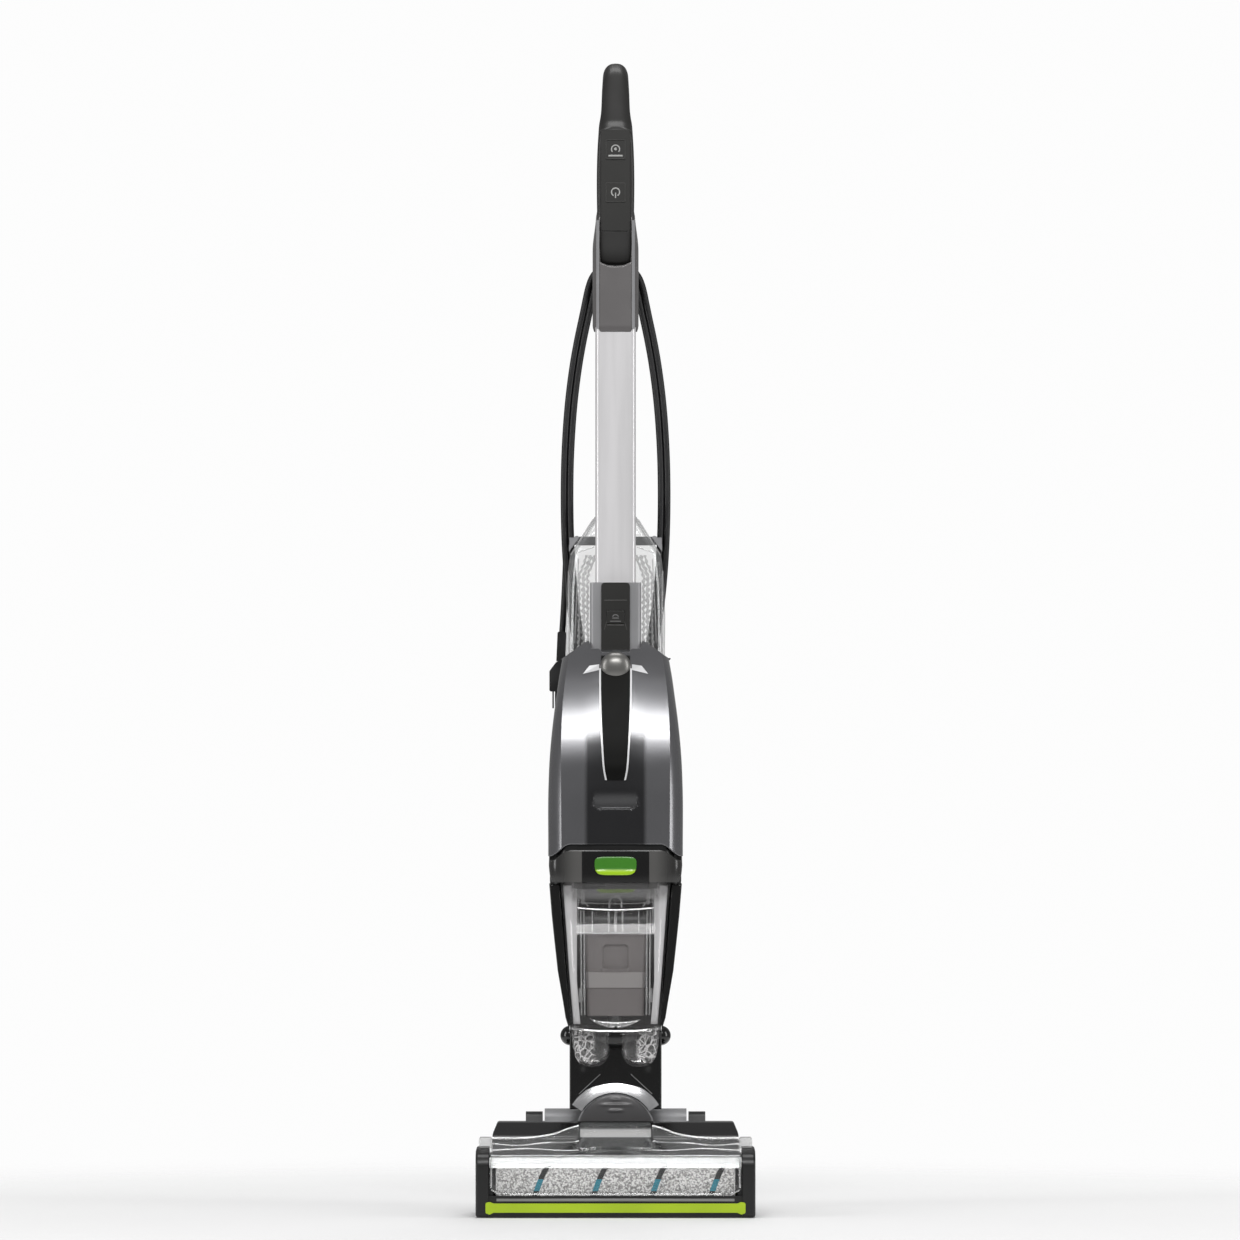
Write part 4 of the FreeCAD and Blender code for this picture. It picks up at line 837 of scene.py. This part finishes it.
def cupBottom():
    # bowl: half an ellipsoid, angle down from its rim by angle round it
    (cx, cy, cz), (rx, ry, rz) = cup["bowl"]
    fall, turn = np.radians(steps(0, 89.5, 14)), circle(48)
    makePiece("cupBowl", "blackGloss", "dirty_tank",
              [closed(cx + rx * np.cos(fall) * np.cos(turn), cy + ry * np.cos(fall) * np.sin(turn),
                      cz - rz * np.sin(fall), flip=True)])
    r, z = (column[:, None] for column in np.array(cup["peak"]).T)
    a = np.radians(across(225, 315, 45, 135))
    makePiece("cupPeak", "blackGloss", "dirty_tank",
              [closed(r * np.cos(a) * 1.4, -13.5 + r * np.sin(a) * 0.5, z, flip=True)])
    # white lip under the strainer and the ring where the cup's wall meets its floor
    x, half = steps(-25, 25, 40), steps(-45, 45, 60)
    smile = bead(x, -11.5, 189 + 5.5 * (x / 25) ** 2, 1.4, 3.4 * (1 - (x / 27) ** 2))
    line = bead(half, 12 * soft(np.abs(half), 32, 45) - 16.2,
                cup["ringLevel"] + 2.2 * soft(np.abs(half), 15, 45), 1.3)
    makePiece("cupRings", "ribClear", "dirty_tank", [smile, line])


def cupLiner():
    # frosted inner side walls: the cup's outline taken in, from |x| 39 round the corner and back along the side
    z, s, r = steps(190, 330, 30), np.linspace(0, 1, 30)[None, :], 7.0
    levels, halves, fronts = np.array(cup["rows"])[:, :3].T
    half, front = np.interp(z, levels, halves) - 2.4, np.interp(z, levels, fronts) + 3.4
    a = np.radians(90 * np.clip((s - 0.25) / 0.4, 0, 1))
    start = np.minimum(39.0, half - r)
    x = np.where(s < 0.25, start + (half - r - start) * s / 0.25, half - r + r * np.sin(a))
    y = front + r + np.where(s < 0.65, -r * np.cos(a), (44 - front - r) * (s - 0.65) / 0.35)
    side = surface(grid(x, y, z))
    makePiece("cupLiner", "frostClear", "dirty_tank", both(side), wall=cup["linerWall"])


clearCup()
strainerBox()
strainerTrim()
cupBottom()
cupLiner()
print("dirty water tank filled")

# brush roll
roll = {
    "length": 119.8, "y": -98.0, "z": 26.5, "radius": 25.5, "shag": 0.55,
    "lead": 58.7, "phase": -20.4, "stripe": 5.6, "tealSpan": 27.0,
    "section": [(-1, 26.0), (-0.5, 26.3), (0, 26.4), (0.5, 26.3), (1, 26.0), (1, 22.0), (-1, 22.0)],
}


def rollSurface(x, r, a):
    return closed(x, roll["y"] - r * np.cos(a), roll["z"] + r * np.sin(a), flip=True)


def brushPile():
    # cylinder with a shaggy skin: the radius is ruffled by three crossing waves of unlike length
    x, a = steps(-roll["length"], roll["length"], 420), circle(150)
    ruffle = (np.sin(x * 2.3 + 9 * np.sin(a * 5)) * np.sin(a * 31 + x * 0.7)
              + 0.6 * np.sin(x * 5.1 + a * 17) * np.sin(a * 47 - x * 1.9))
    edge = 1 - 0.05 * soft(np.abs(x), roll["length"] - 2, roll["length"])
    r = (roll["radius"] + roll["shag"] * ruffle * 0.5) * edge
    makePiece("pileRoll", "pileFibre", "brush", [rollSurface(x, r, a)], "brush_pile", angle=80)


def bristleStrip(name, finish, low, high):
    # ribbon of bristle tufts along a helix, x = lead * turns: place along the helix by point of the section
    side, radius = np.array(roll["section"]).T
    first, last = ((end - roll["phase"]) / roll["lead"] * 4 for end in (-roll["length"], roll["length"]))
    strips = []
    for quarter in np.arange(math.floor(first), last) * 90:
        degrees = np.linspace(quarter + low, quarter + high, 28)
        middle = roll["phase"] + roll["lead"] * degrees / 360
        keep = np.abs(middle) < roll["length"] - 4
        if keep.sum() < 4:
            continue
        a = np.radians(degrees[keep])[:, None]
        tuft = (0.25 * np.sin(a * 60) + 0.15 * np.sin(a * 131)) * (radius > 25)
        strips.append(rollSurface(middle[keep][:, None] + side * roll["stripe"] / 2, radius + tuft, a))
    makePiece(name, finish, "brush", strips, angle=60)


brushPile()
bristleStrip("bristleDark", "bristleBlack", roll["tealSpan"], 90)
bristleStrip("bristleBlue", "bristleTeal", 0, roll["tealSpan"])
print("brush roll made")

# clear hood over the brush
hood = {
    "half": 126.2, "front": -129.0, "bottom": 22.4, "brow": 50.0, "wall": 2.2, "chamfer": (115.0, 0.55),
    # side profile behind the lit facet, as y, z and how much of the rear rim's rise the point takes
    "deck": [(-125.1, 60.8, 0), (-121.5, 62.6, 0), (-112, 65.2, 0.02), (-100, 68.0, 0.15), (-88, 71.0, 0.4),
             (-76, 74.0, 0.7), (-65.0, 76.5, 1.0)],
    "rim": [(0, 13.5), (37, 12.5), (48, 9.5), (60, 5.0), (76, 1.6), (95, 0.0), (127, 0.0)],
    "duct": [(66.5, 36.5, -67.5, -23, 2), (76.0, 36.5, -67.0, -23, 2), (77.5, 35.8, -66.4, -23, 2),
             (90.0, 35.6, -66.0, -23, 2), (91.2, 34.6, -65.2, -23, 2)],
    "ear": [(68.6, 6.0, -94, -66, 2), (70.5, 6.6, -95, -66, 2), (76.5, 6.6, -95, -66, 2),
            (78.6, 5.6, -93.5, -66, 2)],
    "earX": 130.4,
    "posts": [((124.4, 30), (124.4, 60), 1.8, 1.2, -129.3, 0.4),
              ((119.2, 27.5), (119.2, 50), 1.0, 1.0, -129.2, 0.3),
              ((115, 22.9), (124.4, 28.2), 1.4, 1.2, -129.3, 0.3)],
}


def clearHood():
    # across by along: front face, one leaning facet, then a deck that sweeps up to the duct by the rim table
    x = np.linspace(-hood["half"], hood["half"], 170)[None, :]
    low = hood["bottom"] + np.maximum(np.abs(x) - hood["chamfer"][0], 0) * hood["chamfer"][1]
    face = grid(x, hood["front"], low + (hood["brow"] - low) * steps(0, 1, 8))
    deck = np.array(hood["deck"])
    profile = follow(np.column_stack([np.arange(len(deck)), deck]), np.linspace(0, len(deck) - 1, 40))
    y, z, share = profile.T[..., None]
    wave = 0.5 * np.sin((y + 126) / 61 * math.pi * 3 + np.abs(x) / 22) * soft(y, -124, -110)
    top = np.concatenate([face, grid(x, y, z + share * follow(hood["rim"], np.abs(x)) + wave)])
    edge = top[:, -1]
    lower = np.where(edge[:, 1] < -127.5, edge[:, 2], np.minimum(edge[:, 2], 43.5))[:, None]
    t = np.linspace(0, 1, 8)[None, :]
    side = surface(grid(edge[:, :1], edge[:, 1:2], edge[:, 2:] * (1 - t) + lower * t))
    makePiece("hoodShell", "hoodClear", "hood", [surface(top), *both(side)], "brush_window",
              hood["wall"], 12)
    # duct in the middle: a clear box with a step, and the ears at both ends
    duct, ear = ringed(stack(hood["duct"], 4), start=True, end=True), stack(hood["ear"], 5) + (hood["earX"], 0, 0)
    makePiece("hoodDuct", "ductClear", "hood", [duct], angle=25)
    makePiece("hoodEars", "ribClear", "hood", both(ringed(ear, start=True, end=True)), angle=25)
    # bright moulded beads: along the rear rim, across the deck, round the window and down its sides
    run, full = steps(37, 125.5, 60), steps(-124.5, 124.5, 80)
    rise = follow(hood["rim"], run)
    beads = [bead(run, -65.2, 77.0 + rise, 1.1), bead(run, -110, 67.6 + 0.9 * np.sin(run / 13 + 1), 0.6),
             bead(run, -92 + 8 * soft(run, 37, 70), 71.4 + rise * 0.35 + 0.8 * np.sin(run / 9), 0.7)]
    shown = [bead(full, hood["front"] + 3.0, 62.0, 0.55), bead(full[6:-6], hood["front"] - 0.1, 23.4, 0.7)]
    makePiece("hoodBeads", "ribClear", "hood", both(*beads, *bars(*hood["posts"])) + shown)


clearHood()
makePiece("bumperStrip", "stripGrey", "foot",
          bars(((-119, 18.0), (119, 18.0), 2.6, 1.0, -130.6, 0.3)))
print("hood made")

# neck, silver arch and hub
arch = {"inner": 41.0, "outer": 54.2, "centreZ": 79.0, "front": 7.4, "back": 12.6, "spread": 57.0}
hub = {"radius": 39.0, "rim": 10.0, "rise": 3.6, "cut": -25.0,
       "ribs": [(112.8, 5.0), (107.5, 19.0), (101.8, 9.0)], "ribHeight": 1.1, "ribSoft": 1.5}
neck = {"half": 46.2, "low": 103.5, "high": 181.0, "front": 11.4, "fold": 154.0, "wall": 0.8}


def silverArch():
    # ring sector: angle along it by place across its section, the face leaning back more towards the outer edge
    a, s = np.radians(steps(-arch["spread"], arch["spread"], 90)), np.linspace(0, 1, 9)
    r = across(*(arch["inner"] + (arch["outer"] - arch["inner"]) * s), arch["outer"], arch["inner"])
    y = across(*(arch["front"] + (arch["back"] - arch["front"] - 0.4) * (0.62 * s + 0.38 * s ** 2)),
               arch["back"] + 1, arch["back"] + 1)
    makePiece("silverArch", "archSilver", "body",
              [closed(r * np.sin(a), y, arch["centreZ"] + r * np.cos(a), flip=True)])


def neckPlate():
    # height field over the neck's front: raised inside the fold lines, its lower edge pushed out round the hub
    z, x = steps(neck["low"], neck["high"], 60), steps(-neck["half"], neck["half"], 70).T
    lift = (1.0 * soft(neck["fold"] - (np.abs(x) + z), 0, 14)
            + 0.6 * np.exp(-((np.abs(x) - 33) / 4) ** 2) * soft(z, 138, 150))
    away = np.hypot(x, z - arch["centreZ"])
    y = neck["front"] - np.minimum(lift, 1.0) * soft(away, 41, 46)
    push = np.maximum(40.9 / np.maximum(away, 1e-6), 1.0)
    plate = surface(grid(x * push, y, arch["centreZ"] + (z - arch["centreZ"]) * push))
    makePiece("neckFace", "blackGloss", "body", [plate], wall=neck["wall"], angle=20)
    # pale grey bars along the fold lines: painted highlights on the creases
    makePiece("neckFoldHighlights", "stripGrey", "body",
              both(*bars(((37.0, 118.5), (15.5, 138.5), 0.8, 0.8, 10.2, 0.2))))


def hubDome():
    # low dome by radius and angle, cut flat below, with three lens-shaped ribs across it
    r, a = np.concatenate([[[0.01]], steps(0.05, 1, 50)]) * hub["radius"], circle(120)
    x, z = r * np.sin(a), np.maximum(r * np.cos(a), hub["cut"])
    y = hub["rim"] - hub["rise"] * np.sqrt(np.maximum(1 - (np.hypot(x, z) / (hub["radius"] + 0.2)) ** 2, 0))
    z = z + arch["centreZ"]
    for level, half in hub["ribs"]:
        lens = np.maximum(1 - (x / half) ** 2, 0) * np.exp(-((z - level) / hub["ribSoft"]) ** 2)
        y = y - hub["ribHeight"] * lens
    back = 0 * y[-1:] + hub["rim"]
    x, y, z = (np.concatenate(rows) for rows in ((x, x[-1:]), (y, back), (z, z[-1:])))
    makePiece("hubDome", "domeGrey", "hub", [closed(x, y, z)], "trunnion_cap", angle=50)


silverArch()
neckPlate()
hubDome()
print("neck made")

# handle
handle = {
    # path round half the shell: x, y, bottom z, top z
    "path": [(0, 24, 890.0, 956.5), (8, 24, 890, 957.2), (15.4, 24, 890, 960.5), (16.4, 24.2, 890, 961.5),
             (19.6, 27.4, 890, 1006), (20.4, 29, 890, 1010), (22.4, 36, 890, 1012), (23.3, 46, 890.2, 1008),
             (23.3, 56, 892, 986), (23.3, 64, 900, 975), (22.8, 74, 911, 971), (21.2, 81, 919, 969),
             (17.5, 85.2, 923.5, 968.3), (9, 86, 924, 968), (0, 86, 924, 968)],
    "wall": 2.0, "half": 23.3,
}


def handleShell():
    # shell wrapped round the tube's top: a column per point of the path, straight from its bottom to its top edge
    path = np.array(handle["path"])
    fine = np.arange(6 * len(path) - 5) / 6
    x, y, low, high = (np.interp(fine, np.arange(len(path)), values)[None, :] for values in path.T)
    z = low + (high - low) * steps(0, 1, 40)
    narrow = 1 - 0.16 * soft(z, 972, 1012) * soft(x, 12, 18)
    tuck = 1.6 * (1 - soft(z, low, low + 5))
    right = surface(grid(x * narrow * (1 - tuck / handle["half"]), y + tuck * (y < 30), z))
    makePiece("handleShell", "handleGrey", "body", both(right), "handle_shell", handle["wall"], 24)
    # light grey strips on the rounded front corners: painted highlights along the edges
    line = closed(across(16.6, 19.3, 19.6, 16.9), across(23.75, 26.45, 26.85, 24.45), steps(893, 1003, 30))
    makePiece("handleEdgeHighlights", "lightGrey", "body", both(line))


grip = {
    "outer": [(27, 957), (27, 986), (26.2, 1084), (28.6, 1097), (35, 1104), (39, 1112), (60, 1156), (72, 1164),
              (100, 1164), (112, 1158), (118, 1130), (116, 1100), (106, 1000), (96, 968), (84, 948),
              (63, 948), (63, 957)],
    "window": [(56, 1003), (52.5, 1098), (58, 1112), (74, 1133), (84, 1134), (95, 1122), (96, 1108), (89, 1022),
               (84, 1004), (76, 998), (64, 998)],
    "centre": (73.0, 1068.0),
    "half": [(940, 17.4), (1088, 17.6), (1101, 16.6), (1108, 15.4), (1135, 13.8), (1164, 12.2)],
    "column": (150.0, 249.0), "boxy": 6.5, "round": 2.5,
    # room for the keys' travel under their panel
    "recess": {"half": 13.2, "low": 995.0, "high": 1087.0, "floor": 29.6},
}


def rayReach(outline, angles):
    # how far from the loop's centre a ray meets the outline, softened over a few degrees
    p = np.array(outline, float) - np.array(grip["centre"])
    e = np.roll(p, -1, axis=0) - p
    d = np.stack([np.cos(angles), np.sin(angles)], -1)[:, None, :]
    cross = d[..., 0] * e[:, 1] - d[..., 1] * e[:, 0]
    cross = np.where(np.abs(cross) < 1e-9, 1e-9, cross)
    t = (p[:, 0] * e[:, 1] - p[:, 1] * e[:, 0]) / cross
    s = (p[:, 0] * d[..., 1] - p[:, 1] * d[..., 0]) / cross
    reach = np.where((s >= -1e-6) & (s <= 1 + 1e-6) & (t > 0), t, np.inf).min(axis=1)
    kernel = np.exp(-0.5 * (np.arange(-6, 7) / 2.4) ** 2)
    return np.convolve(np.concatenate([reach[-6:], reach, reach[:6]]), kernel / kernel.sum(), "valid")


def gripLoop():
    # closed loop: angle round the window by place round a section, boxy in the column and oval in the grip
    angles = circle(480)[0]
    degrees, (first, last) = np.degrees(angles), grip["column"]
    square = soft(degrees, first - 5, first + 4) * (1 - soft(degrees, last - 4, last + 30))
    power = (grip["round"] + (grip["boxy"] - grip["round"]) * square)[:, None]
    outer, inner, turn = (values[:, None] for values in (
        rayReach(grip["outer"], angles), rayReach(grip["window"], angles), angles))
    f = circle(48)
    out = (outer + inner) / 2 + (outer - inner) / 2 * boxy(f, power)
    y, z = grip["centre"][0] + out * np.cos(turn), grip["centre"][1] + out * np.sin(turn)
    x = follow(grip["half"], z) * boxy(f - math.pi / 2, power)
    recess = grip["recess"]
    sunk = (np.abs(x) < recess["half"]) & (z > recess["low"]) & (z < recess["high"]) & (y < recess["floor"])
    ring = grid(x, np.where(sunk, recess["floor"], y), z)
    loop = ringed(np.concatenate([ring, ring[:1]]))
    makePiece("gripLoop", "gripBlack", "body", [loop], "grip_loop", angle=60)


icons = {"face": 24.95, "power": 1031.5, "mode": 1075.0, "ring": 4.1, "line": 1.15, "rinse": 600.4, "frame": 9.6}


def frontBars(y, depth, *rows):  # bars in one plane, each from left, low to right, high with its width
    return [bar((x1, z1), (x2, z2), width, depth, y) for x1, z1, x2, z2, width in rows]


def controlIcons():
    # raised marks: a ring open at its foot with a stroke for power, a ring and dot over a bar for the other key
    y, low, high, ring, line, side = (icons[key] for key in ("face", "power", "mode", "ring", "line", "frame"))
    power = [arcStrip((0, low), ring, line, -60, 240, y)] + frontBars(y, 0.3, (0, low - 6.0, 0, low - 0.6, line))
    makePiece("powerMark", "palePrint", "power_key", power)
    mode = [arcStrip((0, high), ring, line, -40, 220, y), arcStrip((0, high + 0.2), 0.75, 1.4, 0, 360, y)]
    makePiece("modeMark", "palePrint", "mode_key",
              mode + frontBars(y, 0.3, (-7.2, high - 6.6, 7.2, high - 6.6, 1.7)))
    frames = [(-side, level + rise, side, level + rise, 0.45) for level in (low, high) for rise in (-9.4, 9.4)]
    frames += [(x, level - 9.4, x, level + 9.4, 0.45) for level in (low, high) for x in (-side, side)]
    makePiece("keyFrames", "dimPrint", "body", frontBars(y + 0.1, 0.3, *frames))


def insertMarks():
    # two shallow ridges across the insert and a small round mark on its button
    makePiece("insertRidges", "dimPrint", "body", bars(
        ((-11.5, 618), (11.5, 618), 1.0, 0.6, 18.2, 0.2), ((-8.5, 592.8), (8.5, 592.8), 1.2, 0.6, 18.2, 0.3),
        ((-11.5, 588), (-9.0, 596), 0.6, 0.5, 18.3, 0.1), ((9.0, 596), (11.5, 588), 0.6, 0.5, 18.3, 0.1)))
    z = icons["rinse"]
    makePiece("rinseMark", "stripGrey", "rinse_key", [arcStrip((0, z), 3.0, 0.9, 20, 160, 18.0)]
              + frontBars(18.0, 0.3, (-3.2, z - 0.4, 3.2, z - 0.4, 0.9), (-5.4, z - 3.6, 5.4, z - 3.6, 0.7)))


handleShell()
gripLoop()
controlIcons()
insertMarks()
print("handle made")

# clean water tank
tank = {
    "rows": [(468.4, 45, 58.9, 98.1, 9), (560, 47.1, 58.9, 98.1, 11), (562.5, 50.1, 56.4, 98.1, 12),
             (600, 50.5, 56.4, 98.1, 13), (632, 49.6, 56.4, 98.1, 13), (649, 48, 56.4, 98.1, 13),
             (658, 47.2, 56.4, 98.0, 12.5), (665, 45.4, 56.6, 97.4, 12), (672, 41.4, 56.8, 96.6, 11.5),
             (682, 34.5, 57, 95.1, 11), (703, 21.0, 58.5, 92.1, 9)],
    "wall": 2.0,
    "beads": [(28.5, 1.3), (32.6, 1.7), (37.0, 1.2)],
    "brace": [((46.4, 556), (47.8, 648), 1.4, 2.0, 60, 0.3), ((41.5, 575), (37.5, 660), 1.2, 2.0, 59.6, 0.3),
              ((23, 700), (45.5, 664), 1.6, 2.0, 60, 0.3), ((22, 672), (40, 666), 1.0, 2.0, 59, 0.2)],
}


def cleanTank():
    # smooth stack of rounded rectangles, closed below, with wavy flow beads down each side of its front wall
    makePiece("cleanTank", "tankClear", "clean_tank", [ringed(stack(tank["rows"], 9), start=True)],
              "clean_tank_shell", tank["wall"], 24)
    z, a = steps(556, 664, 150), circle()
    beads = []
    for x, thick in tank["beads"]:
        lean = x - 7 * soft(z, 640, 664) + 3.0 * soft(-z, -590, -552) * (x - 33) / 6 + 0.5 * np.sin(z * 0.9 + x)
        wide = thick * (1 + 0.35 * np.sin(z * 1.15 + x))
        beads.append(closed(lean + wide * np.cos(a), 60.5 + 1.2 * np.sin(a), z, flip=True))
    makePiece("tankFlow", "ribClear", "clean_tank", both(*beads, *bars(*tank["brace"])))
    z = steps(552, 646, 20)
    fin = closed(across(38.5, 45.5, 45.5, 38.5) - across(-1, 1, 1, -1) * 2.6 * soft(z, 560, 646),
                 across(98.7, 98.7, 100.6, 100.6), z)
    makePiece("bayFins", "blackSatin", "body", both(fin))


# wheels, cord boot and rear vents
wheel = {
    "x": 93.5, "y": 64.0, "z": 26.0, "radius": 26.0, "width": 14.0, "blocks": 36, "groove": 0.9,
    "disc": [(24.0, 0.0), (21.0, 0.0), (20.2, -1.6), (9.0, -1.6), (8.4, 0.2), (4.4, 0.2), (4.06, -0.2)],
    "tread": (0.0, 0.6, 1.6, 4.2, 4.8, 9.2, 9.8, 12.4, 13.4, 14.0),
}
boot = {"place": (43.0, 115.1, 436.0), "length": 30.0, "wide": 6.9, "thin": 4.9, "rings": 6}
vents = {"half": 31.0, "first": 386.0, "step": 7.0, "count": 8, "y": 102.2}


def wheels():
    # tread: radius by place across the tyre and angle, in staggered blocks; the disc face dished with a raised hub
    a, s = circle(wheel["blocks"] * 8), down(*wheel["tread"])
    block = np.sin(a * wheel["blocks"] + np.where(s < 7, 0, math.pi))
    cut = soft(block, 0.55, 0.8) * ((s > 0.5) & (s < 13.5)) + 0.6 * ((s > 4.5) & (s < 9.5))
    r = wheel["radius"] - wheel["groove"] * cut - np.where((s < 0.1) | (s > 13.9), 1.2, 0.0)
    radius, rise = (column[:, None] for column in np.array(wheel["disc"]).T)
    r = np.concatenate([radius[::-1] + 0 * a, r, radius + 0 * a])
    x = wheel["x"] + np.concatenate([-rise[::-1], s, wheel["width"] + rise])
    r, x = np.concatenate([r, r[:1]]), np.concatenate([x, x[:1]])
    tyre = ringed(grid(x, wheel["y"] + r * np.cos(a), wheel["z"] + r * np.sin(a)))
    makePiece("wheelRight", "tyreRubber", "wheel_right", [tyre], "wheel_right", angle=30)
    makePiece("wheelLeft", "tyreRubber", "wheel_left", [mirrored(tyre)], "wheel_left", angle=30)


def cordBoot():
    # tapering sleeve with rounded rings, radius by height
    s = np.linspace(0, 1, 90)
    wave = 0.45 * np.maximum(np.sin(s * boot["rings"] * 2 * math.pi), -0.2)
    r = boot["wide"] + (boot["thin"] - boot["wide"]) * s + wave
    sleeve = revolve(np.column_stack([s * boot["length"], r]), boot["place"])
    makePiece("cordBoot", "cordRubber", "body", [sleeve])


def rearVents():
    # slats over the exhaust at the back, each a flat bar turned to face rearwards, on a plain bed
    half, levels = vents["half"], vents["first"] + vents["step"] * np.arange(vents["count"])
    slats = bars(*(((-half, z), (half, z), 3.4, 1.6, -vents["y"], 0.5) for z in levels))
    bed = bar((0, levels.mean() - 30), (0, levels.mean() + 30), 70, 1.2, -101.4)
    makePiece("rearVents", "blackGloss", "body", [mirrored(slat, (1, -1, 1)) for slat in slats])
    makePiece("ventBed", "blackSatin", "body", [mirrored(bed, (1, -1, 1))])


cleanTank()
wheels()
cordBoot()
rearVents()
print("tank, wheels and vents made")


# floor and backdrop
def addFloor():
    mesh = bpy.data.meshes.new("floor")
    mesh.from_pydata([(-6, -6, 0), (6, -6, 0), (6, 6, 0), (-6, 6, 0)], [], [(0, 1, 2, 3)])
    material, shader, place = sheetOf("floorPale")
    radius = place.node("ShaderNodeVectorMath", {"operation": "LENGTH"}, {0: place}, out="Value")
    feed(shader, Alpha=1 - radius.between(studio["floorSolid"], studio["floorGone"]),
         Roughness=0.55 + noise(place, 20, 3) * 0.1, Base_Color=grey(0.88))
    mesh.materials.append(material)
    addObject("floor", mesh)


def addBackdrop():
    world = bpy.data.worlds.new("studio")
    world.use_nodes = True
    seen = Wire(world.node_tree).node("ShaderNodeLightPath", out="Is Camera Ray")
    feed(world.node_tree.nodes["Background"], Color=(1, 1, 1, 1),
         Strength=seen * (studio["backdropSeen"] - studio["backdropGlow"]) + studio["backdropGlow"])
    bpy.context.scene.world = world


addFloor()
addBackdrop()
print("studio set")
